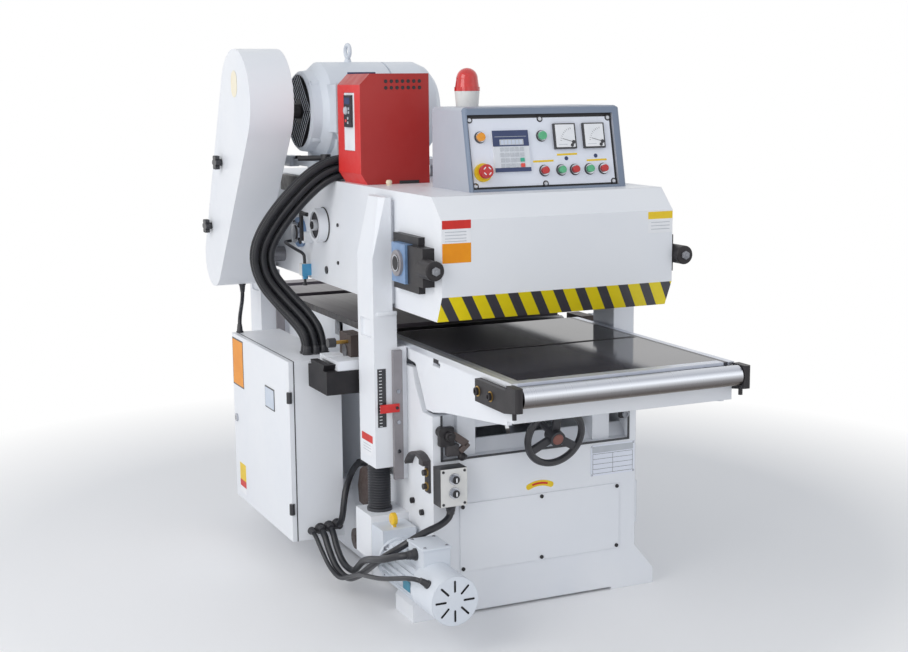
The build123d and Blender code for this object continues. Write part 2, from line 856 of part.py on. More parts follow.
# Access cover, blank plate, stop strip, wall bolts and tension quadrant carried by the base
with BuildPart() as base_fittings:
    block(cover_left_x, cover_right_x, base_front_y - cover_thick, base_front_y, cover_low_z, cover_top_z)
    cover_mid_x = (cover_left_x + cover_right_x) / 2
    for x in (cover_left_x + cover_screw_in, cover_mid_x, cover_right_x - cover_screw_in):
        for z in (cover_low_z + cover_screw_in, cover_top_z - cover_screw_in):
            rod_y(x, base_front_y - cover_thick - screw_head_h, base_front_y - cover_thick, z, screw_head_r)

    block(plate_left_x, plate_right_x, base_front_y - plate_thick, base_front_y, plate_low_z, plate_top_z)
    wall_x = -base_half_w
    block(wall_x, wall_x - strip_t, strip_y, strip_y + strip_w, strip_low_z, strip_top_z)
    with BuildSketch(Plane((wall_x, strip_y, strip_top_z), x_dir=(0, 1, 0), z_dir=(1, 0, 0))) as hook:
        with BuildLine():
            Line((strip_w, 0), (0, 0))
            Line((0, 0), (0, 14))
            ThreePointArc((0, 14), (60, 31), (141, -18))
            Line((141, -18), (136, -24))
            ThreePointArc((136, -24), (70, 21), (strip_w, 14))
            Line((strip_w, 14), (strip_w, 0))
        make_face()
    extrude(hook.sketch, amount=-hook_t)
    strip_mid_y = strip_y + strip_w / 2
    for z in (strip_top_z - 66, strip_top_z - 24):
        rod_x(wall_x - strip_t, wall_x - strip_t - washer_t, strip_mid_y, z, washer_r)
        rod_x(wall_x - strip_t - washer_t, wall_x - strip_t - washer_t - bolt_h, strip_mid_y, z, bolt_r)
    for y, z in wall_bolts:
        rod_x(wall_x, wall_x - bolt_h, y, z, bolt_r)
    quadrant_plane = Plane(
        (wall_x - quadrant_pin_l, quadrant_y, quadrant_z), x_dir=(0, 1, 0), z_dir=(1, 0, 0),
    )
    with BuildSketch(quadrant_plane) as quadrant:
        with BuildLine():
            Polyline(
                (-42, 50), (-16, 66), (12, 66), (38, 50), (60, -8), (50, -60), (6, -64), (-30, -38),
                close=True,
            )
        make_face()
    extrude(quadrant.sketch, amount=-quadrant_t)
    rod_x(wall_x, wall_x - quadrant_pin_l, quadrant_y, quadrant_z, quadrant_pin_r)
    rod_x(wall_x, wall_x - 2 * idler_w, idler_y, idler_z, idler_pin_r)
    rod_x(wall_x - idler_w, wall_x - 2 * idler_w + 2, idler_y, idler_z, idler_r)

base_fittings.part.label = "base_fittings"
export_step(base_fittings.part, "parts/base_fittings.step")

# Plates of the bed behind the lower cutter, with the two rails that carry the overhang
with BuildPart() as bed_plates:
    edges = [bed_front_y]
    for y in bed_slots:
        edges += [y - bed_slot_w / 2, y + bed_slot_w / 2]
    edges.append(bed_back_y)
    for y0, y1 in zip(edges[0::2], edges[1::2]):
        block(-table_half_w, table_half_w, y0, y1, base_top_z, base_top_z + bed_thick)
    for side in (-1, 1):
        block(
            side * (table_half_w - bed_rail_w), side * table_half_w, base_back_y, bed_back_y,
            base_top_z - bed_rail_h,
            base_top_z,
        )

bed_plates.part.label = "bed_plates"
export_step(bed_plates.part, "parts/bed_plates.step")

# Steel gib strips in front of and behind each column, and the pointer over the depth scale
with BuildPart() as column_gibs:
    for side, y in columns:
        for face in (-1, 1):
            near = y + face * (column_depth / 2 + slide_fit)
            far = near + face * gib_thick
            block(side * gib_in_x, side * gib_out_x, near, far, gib_low_z, gib_top_z)
            for z in gib_screw_zs:
                rod_y(side * (gib_in_x + gib_out_x) / 2, far, far + face * gib_screw_h, z, gib_screw_r)
    gib_front_y = front_column_y - column_depth / 2 - slide_fit - gib_thick
    pointer_low_z = pointer_z - pointer_h / 2
    pointer_high_z = pointer_z + pointer_h / 2
    block(
        -pointer_in_x, -pointer_out_x, gib_front_y - pointer_t, gib_front_y, pointer_low_z, pointer_high_z,
    )

column_gibs.part.label = "column_gibs"
export_step(column_gibs.part, "parts/column_gibs.step")

# Worm gearboxes under the columns, each with a closed tube for the screw's lower end
with BuildPart() as lift_gearboxes:
    for side, y in columns:
        block(
            side * base_half_w, side * gearbox_out_x, y - column_depth / 2, y + column_depth / 2,
            gearbox_low_z,
            gearbox_top_z,
        )
        rod_z(side * screw_x, y, gearbox_tube_z, gearbox_low_z, gearbox_tube_r)
        tube_floor_z = gearbox_tube_z + gearbox_tube_floor
        rod_z(side * screw_x, y, tube_floor_z, gearbox_top_z, screw_r + loose_fit, Mode.SUBTRACT)

lift_gearboxes.part.label = "lift_gearboxes"
export_step(lift_gearboxes.part, "parts/lift_gearboxes.step")

# Lift motor with its worm housing, finned body, fan cover and terminal box
fan_cover_y = lift_fan_y + lift_fan_cover_l
flange_y = worm_front_y - lift_flange_t
fin_end_y = flange_y - lift_fin_gap
with BuildPart() as lift_motor:
    block(worm_x0, worm_x1, worm_front_y, gearbox_front_y, worm_low_z, worm_top_z)
    rod_y(lift_motor_x, flange_y, worm_front_y, lift_motor_z, lift_flange_r)
    rod_y(lift_motor_x, fan_cover_y, flange_y, lift_motor_z, lift_motor_root_r)
    with Locations(Plane((lift_motor_x, (fan_cover_y + fin_end_y) / 2, lift_motor_z), z_dir=(0, 1, 0))):
        with PolarLocations((lift_motor_root_r + lift_motor_r) / 2 - 1, lift_motor_fins):
            Box(lift_motor_r - lift_motor_root_r + 2, lift_fin_t, fin_end_y - fan_cover_y)
    rod_y(lift_motor_x, lift_fan_y, fan_cover_y, lift_motor_z, lift_motor_r)
    with BuildSketch(Plane((lift_motor_x, lift_fan_y, lift_motor_z), x_dir=(1, 0, 0), z_dir=(0, -1, 0))):
        with PolarLocations(lift_motor_r * 0.6, lift_fan_slots):
            SlotOverall(lift_motor_r * 0.48, lift_fan_slot_w)
    extrude(amount=-lift_fan_slot_w, mode=Mode.SUBTRACT)
    block(terminal_x0, terminal_x1, terminal_y0, terminal_y1, terminal_low_z, terminal_top_z)
    cap_z = worm_top_z + oil_plug_h
    rod_z(lift_motor_x, worm_front_y + 30, worm_top_z, cap_z, oil_plug_r)
    rod_x(lift_motor_x - oil_cap_t / 2, lift_motor_x + oil_cap_t / 2, worm_front_y + 30, cap_z, oil_cap_r)

lift_motor.part.label = "lift_motor"
export_step(lift_motor.part, "parts/lift_motor.step")

# Dovetail rail that carries the lower cutter unit across the base
with BuildPart() as carriage_rail:
    side_shape(
        (
            (rail_front_y, rail_low_z),
            (rail_back_y, rail_low_z),
            (rail_back_y, rail_shoulder_z),
            (dove_back_y - dove_under, rail_shoulder_z),
            (dove_back_y, rail_top_z),
            (dove_front_y, rail_top_z),
            (dove_front_y + dove_under, rail_shoulder_z),
            (rail_front_y, rail_shoulder_z),
        ),
        -rail_out_x,
        rail_tail_x,
    )
    rod_x(-lower_half_l - carriage_travel - 8, lower_half_l + 8, lower_y, lower_z, lower_r + 5, Mode.SUBTRACT)
    rod_x(lower_half_l, rail_tail_x + cut_over, lower_y, lower_z, lower_pulley_r + 4, Mode.SUBTRACT)

carriage_rail.part.label = "carriage_rail"
export_step(carriage_rail.part, "parts/carriage_rail.step")

# Carriage on the rail with the two bearing housings of the lower cutterhead
with BuildPart() as lower_carriage:
    block(
        -carriage_out_x, carriage_tail_x, rail_front_y + carriage_side_gap, rail_back_y - carriage_side_gap,
        rail_shoulder_z + slide_fit, carriage_top_z,
    )
    side_shape(
        (
            (dove_front_y + dove_under - slide_fit, rail_shoulder_z - 1),
            (dove_front_y - 2 * slide_fit, rail_top_z + slide_fit),
            (dove_back_y + 2 * slide_fit, rail_top_z + slide_fit),
            (dove_back_y - dove_under + slide_fit, rail_shoulder_z - 1),
        ),
        -carriage_out_x - 1,
        carriage_tail_x + 1,
        Mode.SUBTRACT,
    )
    rod_x(-house_right_x, house_right_x, lower_y, lower_z, lower_r + 6, Mode.SUBTRACT)
    for x in (house_left_x, house_right_x):
        block(x, x + house_w, lower_y - house_half_y, lower_y + house_half_y, carriage_top_z, house_top_z)
    rod_x(
        -carriage_out_x - 1, carriage_tail_x + 1, lower_y, lower_z, lower_journal_r + run_fit,
        Mode.SUBTRACT,
    )
    rod_x(
        house_left_x - cut_over, house_left_x + knob_rod_in + 2, knob_y, knob_z, knob_rod_r + run_fit,
        Mode.SUBTRACT,
    )

lower_carriage.part.label = "lower_carriage"
export_step(lower_carriage.part, "parts/lower_carriage.step")

# Lower cutterhead with four knife flats and its pulley
with BuildPart() as lower_cutterhead:
    rod_x(-lower_half_l, lower_half_l, lower_y, lower_z, lower_r)
    for turn in range(4):
        slot = Plane(
            (0, lower_y, lower_z), x_dir=(1, 0, 0), z_dir=(0, cos(turn * pi / 2), sin(turn * pi / 2)),
        )
        with Locations(slot.offset(lower_r - knife_slot_deep)):
            Box(
                2 * lower_half_l + 2 * cut_over, knife_slot_w, 2 * knife_slot_deep,
                align=(Align.CENTER, Align.CENTER, Align.MIN), mode=Mode.SUBTRACT,
            )
    rod_x(house_left_x - 4, lower_pulley_x0, lower_y, lower_z, lower_journal_r)
    rod_x(lower_pulley_x0, lower_pulley_x0 + lower_pulley_w, lower_y, lower_z, lower_pulley_r)

lower_cutterhead.part.label = "lower_cutterhead"
export_step(lower_cutterhead.part, "parts/lower_cutterhead.step")

# Clamp knob of the lower unit on its brass rod
with BuildPart() as carriage_knob:
    rod_x(house_left_x + knob_rod_in, house_left_x - knob_rod_l, knob_y, knob_z, knob_rod_r)
    rod_x(house_left_x - knob_rod_l, house_left_x - knob_rod_l - knob_l, knob_y, knob_z, knob_r)

carriage_knob.part.label = "carriage_knob"
export_step(carriage_knob.part, "parts/carriage_knob.step")

# Motor of the lower cutterhead inside the base, and its belt outside the right wall
lower_circles = ((lower_y, lower_z, lower_pulley_r), (lower_motor_y, lower_motor_z, lower_motor_pulley_r))
with BuildPart() as lower_drive:
    rod_x(lower_motor_x0, lower_motor_x1, lower_motor_y, lower_motor_z, lower_motor_r)
    block(
        lower_motor_x0 + 70, lower_motor_x1 - 60, lower_motor_y - 90, lower_motor_y + 90, inner_low_z,
        lower_motor_z - lower_motor_r / 2,
    )
    shaft_root_x = lower_motor_x1 - lower_shaft_in
    rod_x(
        shaft_root_x, lower_motor_x1 + 1, lower_motor_y, lower_motor_z, lower_shaft_r + run_fit,
        Mode.SUBTRACT,
    )

    belt_x0 = lower_pulley_x0 + belt_margin
    belt_x1 = lower_pulley_x0 + lower_pulley_w - belt_margin
    two_circle_hull(belt_x0, belt_x1, *lower_circles, grow=loose_fit + belt_thick)
    two_circle_hull(belt_x0 - 1, belt_x1 + 1, *lower_circles, grow=loose_fit, mode=Mode.SUBTRACT)

lower_drive.part.label = "lower_drive"
export_step(lower_drive.part, "parts/lower_drive.step")

# Shaft and pulley of the lower motor
with BuildPart() as lower_motor_pulley:
    rod_x(lower_motor_x1 - lower_shaft_in + 2, lower_pulley_x0, lower_motor_y, lower_motor_z, lower_shaft_r)
    rod_x(
        lower_pulley_x0, lower_pulley_x0 + lower_pulley_w, lower_motor_y, lower_motor_z,
        lower_motor_pulley_r,
    )

lower_motor_pulley.part.label = "lower_motor_pulley"
export_step(lower_motor_pulley.part, "parts/lower_motor_pulley.step")

# Infeed table: dark plate between two bright edge strips
plate_half_w = table_half_w - table_strip_w
with BuildPart() as infeed_table:
    block(-plate_half_w, plate_half_w, table_front_y, table_back_y, table_low_z, table_top_z)

infeed_table.part.label = "infeed_table"
export_step(infeed_table.part, "parts/infeed_table.step")

# Bright strips along the sides and the front of the infeed table
with BuildPart() as table_strips:
    for side in (-1, 1):
        block(
            side * plate_half_w, side * table_half_w, table_front_y, table_back_y, table_low_z, table_top_z,
        )
    block(-table_half_w, table_half_w, table_lip_y, table_front_y, table_top_z - table_lip_thick, table_top_z)

table_strips.part.label = "table_strips"
export_step(table_strips.part, "parts/table_strips.step")

# Casting under the infeed table: side walls, deck, front beam, slides on the ways and screw nut
with BuildPart() as infeed_casting:
    for side in (-1, 1):
        side_shape(
            (
                (casting_back_y, table_low_z),
                (casting_back_y - 14, base_step_z + 21),
                (base_slope_y + 6, base_step_z + 14),
                (base_slope_y - 29, base_slope_z + 5),
                (base_post_y - 16, casting_low_z),
                (base_front_y + 10, casting_low_z),
                (base_front_y - 73, casting_low_z + 16),
                (casting_beam_back_y, casting_beam_low_z - casting_web),
                (casting_beam_back_y, table_low_z),
            ),
            side * casting_half_w,
            side * (casting_half_w - casting_wall),
        )
        side_shape(
            (
                (slide_front_y, way_z(slide_front_y)),
                (slide_back_y, way_z(slide_back_y)),
                (slide_back_y, table_low_z - casting_deck),
                (slide_front_y, table_low_z - casting_deck),
            ),
            side * (way_inner_x + slide_side_gap),
            side * (way_inner_x + way_width - slide_side_gap),
        )
        block(
            side * (casting_half_w - casting_wall - cut_over), side * (casting_half_w + cut_over),
            casting_hole_y - casting_hole_w / 2, casting_hole_y + casting_hole_w / 2,
            casting_hole_z - casting_hole_h / 2, casting_hole_z + casting_hole_h / 2, Mode.SUBTRACT,
        )
    deck_low_z = table_low_z - casting_deck
    block(-casting_half_w, casting_half_w, casting_beam_back_y, casting_back_y, deck_low_z, table_low_z)
    block(
        -casting_half_w, casting_half_w, casting_beam_front_y, casting_beam_back_y, casting_beam_low_z,
        casting_beam_top_z,
    )
    block(
        -casting_half_w, casting_half_w, casting_beam_back_y - cut_over, casting_beam_back_y + casting_web,
        casting_beam_low_z, table_low_z,
    )
    block(-nut_half_w, nut_half_w, nut_front_y, nut_front_y + nut_depth, nut_low_z, deck_low_z)
    nut_start = Vector(0, wheel_y, wheel_z) - way_dir * (wheel_shaft_l - 100)
    rod_along(nut_start, way_dir * -1, 130, wheel_shaft_r + run_fit, Mode.SUBTRACT)

infeed_casting.part.label = "infeed_casting"
export_step(infeed_casting.part, "parts/infeed_casting.step")

# Side brackets that carry the front roller
bracket_out_x = casting_half_w + bracket_thick
with BuildPart() as roller_brackets:
    for side in (-1, 1):
        side_shape(
            (
                (bracket_back_y, bracket_low_z),
                (bracket_back_y, table_low_z - 1),
                (table_lip_y - 2, table_low_z - 1),
                (table_lip_y - 2, table_top_z - 3),
                (bracket_front_y, table_top_z - 3),
                (bracket_front_y, bracket_toe_z),
                (table_lip_y + 12, bracket_low_z),
            ),
            side * casting_half_w,
            side * bracket_out_x,
        )
    nose_edges = roller_brackets.edges().filter_by(Axis.Z).filter_by_position(
        Axis.Y, bracket_front_y - 1, bracket_front_y + 1
    )
    fillet(nose_edges, bracket_nose_r)
    for side in (-1, 1):
        rod_x(
            side * (casting_half_w - cut_over), side * (bracket_out_x - bracket_wall), roller_y, roller_z,
            roller_pin_r + run_fit, Mode.SUBTRACT,
        )
        for y in bracket_bolt_ys:
            rod_x(
                side * bracket_out_x, side * (bracket_out_x + bracket_bolt_h), y, bracket_bolt_z,
                bracket_bolt_r,
            )
        jack_x = side * (casting_half_w + bracket_thick / 2)
        jack_top_z = bracket_low_z + 9
        rod_z(jack_x, roller_y + 4, jack_top_z - jack_bolt_l, jack_top_z, jack_bolt_r)

roller_brackets.part.label = "roller_brackets"
export_step(roller_brackets.part, "parts/roller_brackets.step")

# Roller along the front of the infeed table
with BuildPart() as front_roller:
    rod_x(-roller_half_l, roller_half_l, roller_y, roller_z, roller_r)
    pin_end_x = bracket_out_x - bracket_wall - 1
    rod_x(-pin_end_x, pin_end_x, roller_y, roller_z, roller_pin_r)

front_roller.part.label = "front_roller"
export_step(front_roller.part, "parts/front_roller.step")

# Handwheel on the inclined table screw
wheel_mid = Vector(0, wheel_y, wheel_z)
wheel_plane = Plane(wheel_mid, x_dir=(1, 0, 0), z_dir=way_dir)
with BuildPart() as handwheel:
    with Locations(wheel_plane):
        Cylinder(wheel_hub_r, wheel_hub_l)
    rod_along(wheel_mid, way_dir * -1, wheel_shaft_l, wheel_shaft_r)
    for spoke in range(wheel_spokes):
        turn = radians(90 + spoke * 360 / wheel_spokes)
        reach = wheel_plane.x_dir * cos(turn) + wheel_plane.y_dir * sin(turn)
        spoke_l = wheel_r - wheel_rim_r - wheel_spoke_start
        spoke_mid = wheel_mid + reach * (wheel_spoke_start + spoke_l / 2)
        with Locations(Plane(spoke_mid, x_dir=reach, z_dir=way_dir)):
            Box(spoke_l, wheel_spoke_w, wheel_spoke_t)
    with BuildSketch(Plane(wheel_mid, x_dir=wheel_plane.x_dir, z_dir=wheel_plane.y_dir)):
        with Locations((wheel_r - wheel_rim_r, 0)):
            RegularPolygon(wheel_rim_r, 8)
    revolve(axis=Axis(wheel_mid, way_dir))

handwheel.part.label = "handwheel"
export_step(handwheel.part, "parts/handwheel.step")

# Lever that locks the table slide, on the left post of the window
with BuildPart() as lock_lever:
    rod_y(lock_x, base_front_y - lock_boss_l, base_front_y, lock_z, lock_boss_r)
    lock_start = Vector(lock_x, base_front_y - lock_boss_l / 2 - 4, lock_z)
    lock_reach = Vector(sin(radians(lock_lean)), 0, -cos(radians(lock_lean)))
    rod_along(lock_start, lock_reach, lock_arm_l, lock_arm_r)
    with Locations(lock_start + lock_reach * lock_arm_l):
        Sphere(lock_ball_r)

lock_lever.part.label = "lock_lever"
export_step(lock_lever.part, "parts/lock_lever.step")

# Electrical cabinet on its stand-off rails
with BuildPart() as cabinet_body:
    body_x0 = cabinet_x0 + door_thick
    block(body_x0, cabinet_x1, cabinet_y0, cabinet_y1, cabinet_z0, cabinet_z1)
    block(
        body_x0 - 1, cabinet_x1 - cabinet_sheet, cabinet_y0 + cabinet_sheet, cabinet_y1 - cabinet_sheet,
        cabinet_z0 + cabinet_sheet, cabinet_z1 - cabinet_sheet, Mode.SUBTRACT,
    )
    for z in cabinet_rail_zs:
        block(cabinet_x1, -base_half_w, cabinet_y0 + 176, cabinet_y1 - 56, z, z + cabinet_rail_h)
    gear_x1 = cabinet_x1 - cabinet_sheet
    for z in cabinet_gear_zs:
        block(
            gear_x1 - cabinet_gear_t, gear_x1, cabinet_y0 + cabinet_gear_in, cabinet_y1 - cabinet_gear_in, z,
            z + cabinet_gear_h,
        )

cabinet_body.part.label = "cabinet_body"
export_step(cabinet_body.part, "parts/cabinet_body.step")

# Cabinet door with its window frame, lock and two hinge barrels
with BuildPart() as cabinet_door:
    block(
        cabinet_x0, cabinet_x0 + door_thick - door_gap, cabinet_y0, cabinet_y1, cabinet_z0, cabinet_z1
    )
    block(
        cabinet_x0 + door_skin, cabinet_x0 + door_thick, cabinet_y0 + door_rim, cabinet_y1 - door_rim,
        cabinet_z0 + door_rim, cabinet_z1 - door_rim, Mode.SUBTRACT,
    )
    block(
        cabinet_x0 - door_window_t, cabinet_x0, door_window_y - door_window_w / 2,
        door_window_y + door_window_w / 2,
        door_window_z - door_window_h / 2, door_window_z + door_window_h / 2,
    )
    rod_x(cabinet_x0 - door_lock_h, cabinet_x0, door_lock_y, door_lock_z, door_lock_r)
    for z in hinge_zs:
        rod_z(cabinet_x0, cabinet_y0, z - hinge_h / 2, z + hinge_h / 2, hinge_r)

cabinet_door.part.label = "cabinet_door"
export_step(cabinet_door.part, "parts/cabinet_door.step")

# Switch box beside the window
with BuildPart() as switch_box:
    block(switch_x0, switch_x1, switch_front_y, base_front_y, switch_z0, switch_z1)
    for z in selector_zs:
        rod_y(selector_x, switch_front_y - selector_ring_h, switch_front_y, z, selector_ring_r)
        rod_y(
            selector_x, switch_front_y - selector_ring_h - cut_over,
            switch_front_y + selector_in + cut_over, z,
            selector_r + run_fit, Mode.SUBTRACT,
        )
    for x in (switch_x0 + switch_screw_in, switch_x1 - switch_screw_in):
        for z in (switch_z0 + switch_screw_in, switch_z1 - switch_screw_in):
            rod_y(
                x, switch_front_y - cut_over, switch_front_y + switch_screw_deep, z, switch_screw_r,
                Mode.SUBTRACT,
            )

switch_box.part.label = "switch_box"
export_step(switch_box.part, "parts/switch_box.step")

# Turning selector of the switch box with its bar
def selector_knob(z):
    face_y = switch_front_y - selector_proud
    reach = selector_r - selector_bar_end
    rod_y(selector_x, face_y, switch_front_y + selector_in, z, selector_r)
    block(
        selector_x - selector_bar_half_w, selector_x + selector_bar_half_w, face_y - selector_bar_h, face_y,
        z - reach,
        z + reach,
    )


# Two selectors of the switch box
with BuildPart() as selector_low:
    selector_knob(selector_zs[0])

selector_low.part.label = "selector_low"
export_step(selector_low.part, "parts/selector_low.step")

with BuildPart() as selector_high:
    selector_knob(selector_zs[1])

selector_high.part.label = "selector_high"
export_step(selector_high.part, "parts/selector_high.step")

# Four columns that carry the head, with their jack screws and the depth scale
with BuildPart() as lift_columns:
    for side, y in columns:
        y0 = y - column_depth / 2
        y1 = y + column_depth / 2
        block(side * column_gap_x, side * column_out_x, y0, y1, column_low_z, column_ledge_z)
        root_x = column_in_x + column_relief
        block(side * root_x, side * column_out_x, y0, y1, column_ledge_z, column_lean_z)
        with BuildSketch(Plane.XY.offset(column_lean_z)) as lean_low:
            low_x = column_out_x - column_edge
            with BuildLine():
                Polyline(
                    (side * root_x, y0), (side * low_x, y0), (side * column_out_x, y0 + column_edge),
                    (side * column_out_x, y1 - column_edge), (side * low_x, y1), (side * root_x, y1),
                    close=True,
                )
            make_face()
        with BuildSketch(Plane.XY.offset(column_top_z)) as lean_high:
            top_x = column_out_x - column_lean
            facet_x = top_x - column_facet / 2
            with BuildLine():
                Polyline(
                    (side * root_x, y0), (side * facet_x, y0), (side * top_x, y0 + column_facet),
                    (side * top_x, y1 - column_facet), (side * facet_x, y1), (side * root_x, y1), close=True,
                )
            make_face()
        loft([lean_low.sketch.face(), lean_high.sketch.face()], ruled=True)
        block(
            side * column_in_x, side * root_x, y0 + column_pad_in, y1 - column_pad_in,
            column_ledge_z + column_ledge_h,
            column_top_z - column_pad_drop,
        )
        block(
            side * (column_out_x - recess_deep), side * (column_out_x + cut_over), y - recess_w / 2,
            y + recess_w / 2,
            recess_low_z, recess_top_z, Mode.SUBTRACT,
        )
        rod_z(side * screw_x, y, screw_low_z, column_low_z + 20, screw_r)
    scale_y = front_column_y - column_depth / 2
    block(-scale_out_x, -scale_in_x, scale_y - scale_t, scale_y, scale_low_z, scale_top_z)

lift_columns.part.label = "lift_columns"
export_step(lift_columns.part, "parts/lift_columns.step")

# Ribbed bellows round the jack screws
with BuildPart() as lift_bellows:
    rib_h = (column_low_z - gearbox_top_z) / bellows_ribs
    for side, y in columns:
        outline = [(bellows_bore_r, gearbox_top_z), (bellows_root_r, gearbox_top_z)]
        for rib in range(bellows_ribs):
            outline.append((bellows_r, gearbox_top_z + rib_h * (rib + 0.35)))
            outline.append((bellows_r, gearbox_top_z + rib_h * (rib + 0.65)))
            outline.append((bellows_root_r, gearbox_top_z + rib_h * (rib + 1)))
        outline.append((bellows_bore_r, column_low_z))
        with BuildSketch(Plane((side * screw_x, y, 0), x_dir=(1, 0, 0), z_dir=(0, -1, 0))):
            with BuildLine():
                Polyline(*outline, close=True)
            make_face()
        revolve(axis=Axis((side * screw_x, y, 0), (0, 0, 1)))

lift_bellows.part.label = "lift_bellows"
export_step(lift_bellows.part, "parts/lift_bellows.step")


def side_plate_holes(side):
    x0 = side * (head_in_x - cut_over)
    x1 = side * (head_out_x + cut_over)
    rod_x(x0, x1, rear_drum_y, track_z, drum_shaft_r + run_fit, Mode.SUBTRACT)
    rod_x(x0, x1, upper_y, upper_z, upper_shaft_r + run_fit, Mode.SUBTRACT)
    rod_x(x0, x1, outfeed_y, outfeed_z, outfeed_pin_r + run_fit, Mode.SUBTRACT)
    slot_r = drum_shaft_r + takeup_slot_gap
    block(
        x0, x1, front_drum_y, front_drum_y + takeup_travel, track_z - slot_r, track_z + slot_r,
        Mode.SUBTRACT,
    )
    rod_x(x0, x1, front_drum_y, track_z, slot_r, Mode.SUBTRACT)
    rod_x(x0, x1, front_drum_y + takeup_travel, track_z, slot_r, Mode.SUBTRACT)


# Side plates of the head
with BuildPart() as head_side_left:
    block(-head_out_x, -head_in_x, head_front_y, head_back_y, head_low_z, head_top_z)
    side_plate_holes(-1)
    for y, z in side_bolts:
        rod_x(-head_out_x, -head_out_x - side_bolt_h, y, z, side_bolt_r)
    rod_x(-head_out_x, -head_out_x - washer_t, *side_plug, washer_r)

head_side_left.part.label = "head_side_left"
export_step(head_side_left.part, "parts/head_side_left.step")

with BuildPart() as head_side_right:
    block(head_in_x, head_out_x, head_front_y, head_back_y, head_low_z, head_top_z)
    side_plate_holes(1)

head_side_right.part.label = "head_side_right"
export_step(head_side_right.part, "parts/head_side_right.step")

# Folded front cover with the striped band along its lower edge
nose_outline = (
    (head_front_y, head_low_z),
    (nose_chin_y, head_low_z),
    (nose_front_y, nose_band_z),
    (nose_front_y, nose_brow_z),
    (head_front_y, head_top_z),
)
nose_inner = (
    (head_front_y + 1, head_low_z + nose_sheet),
    (nose_chin_y + nose_sheet, head_low_z + nose_sheet),
    (nose_front_y + nose_sheet, nose_band_z + nose_sheet / 2),
    (nose_front_y + nose_sheet, nose_brow_z - nose_sheet / 2),
    (head_front_y + 1, head_top_z - 2 * nose_sheet),
)
with BuildPart() as head_front_cover:
    side_shape(nose_outline, -head_out_x, head_out_x)
    side_shape(nose_inner, -head_out_x + nose_sheet, head_out_x - nose_sheet, Mode.SUBTRACT)

head_front_cover.part.label = "head_front_cover"
export_step(head_front_cover.part, "parts/head_front_cover.step")

# Deck of the head with its rear cover
with BuildPart() as head_top_cover:
    block(-head_in_x, head_in_x, head_front_y, head_back_y, head_top_z - head_deck, head_top_z)
    block(-head_in_x, head_in_x, head_back_y - head_deck, head_back_y, rear_cover_low_z, head_top_z)

head_top_cover.part.label = "head_top_cover"
export_step(head_top_cover.part, "parts/head_top_cover.step")

# Feed track: belt loop with rubber pads
with BuildPart() as feed_track:
    loop_r = drum_r + loose_fit
    front_circle = (front_drum_y, track_z, loop_r)
    rear_circle = (rear_drum_y, track_z, loop_r)
    two_circle_hull(-track_half_w, track_half_w, front_circle, rear_circle, grow=track_thick)
    two_circle_hull(-track_half_w - 1, track_half_w + 1, front_circle, rear_circle, mode=Mode.SUBTRACT)
    pad_mid = loop_r + track_thick + pad_thick / 2 - pad_sink
    run = rear_drum_y - front_drum_y
    count = int(run // pad_pitch)
    first = front_drum_y + (run - (count - 1) * pad_pitch) / 2
    for pad in range(count):
        for face in (-1, 1):
            y = first + pad * pad_pitch
            z = track_z + face * pad_mid
            block(
                -track_half_w, track_half_w, y - pad_len / 2, y + pad_len / 2, z - pad_thick / 2,
                z + pad_thick / 2,
            )
    for end, y in ((-1, front_drum_y), (1, rear_drum_y)):
        for turn in range(-3, 4):
            angle = radians(turn * end_pad_step)
            out = Vector(0, end * cos(angle), sin(angle))
            with Locations(Plane(Vector(0, y, track_z) + out * pad_mid, x_dir=(1, 0, 0), z_dir=out)):
                Box(2 * track_half_w, end_pad_len, pad_thick)

feed_track.part.label = "feed_track"
export_step(feed_track.part, "parts/feed_track.step")


# Drum rim with two pierced webs, open at both ends
def hollow_drum(y):
    rod_x(-drum_half_l, drum_half_l, y, track_z, drum_r)
    web_in_x = drum_web_x - drum_web_t
    drum_end_x = drum_half_l + cut_over
    for x0, x1 in ((-drum_end_x, -drum_web_x), (-web_in_x, web_in_x), (drum_web_x, drum_end_x)):
        rod_x(x0, x1, y, track_z, drum_r - drum_wall, Mode.SUBTRACT)
    hole_y = y - (drum_r + drum_shaft_r) / 2
    rod_x(-drum_end_x, drum_end_x, hole_y, track_z, drum_wall, Mode.SUBTRACT)


# Rear drum of the track, driven
with BuildPart() as rear_drum:
    hollow_drum(rear_drum_y)
    shaft_end_x = head_out_x + flange_t + 4
    rod_x(-shaft_end_x, shaft_end_x, rear_drum_y, track_z, drum_shaft_r)

rear_drum.part.label = "rear_drum"
export_step(rear_drum.part, "parts/rear_drum.step")

# Front drum of the track, carried by the take-up bearings
with BuildPart() as front_drum:
    hollow_drum(front_drum_y)
    rod_x(-takeup_ring_out - 2, takeup_ring_out + 2, front_drum_y, track_z, drum_shaft_r)

front_drum.part.label = "front_drum"
export_step(front_drum.part, "parts/front_drum.step")

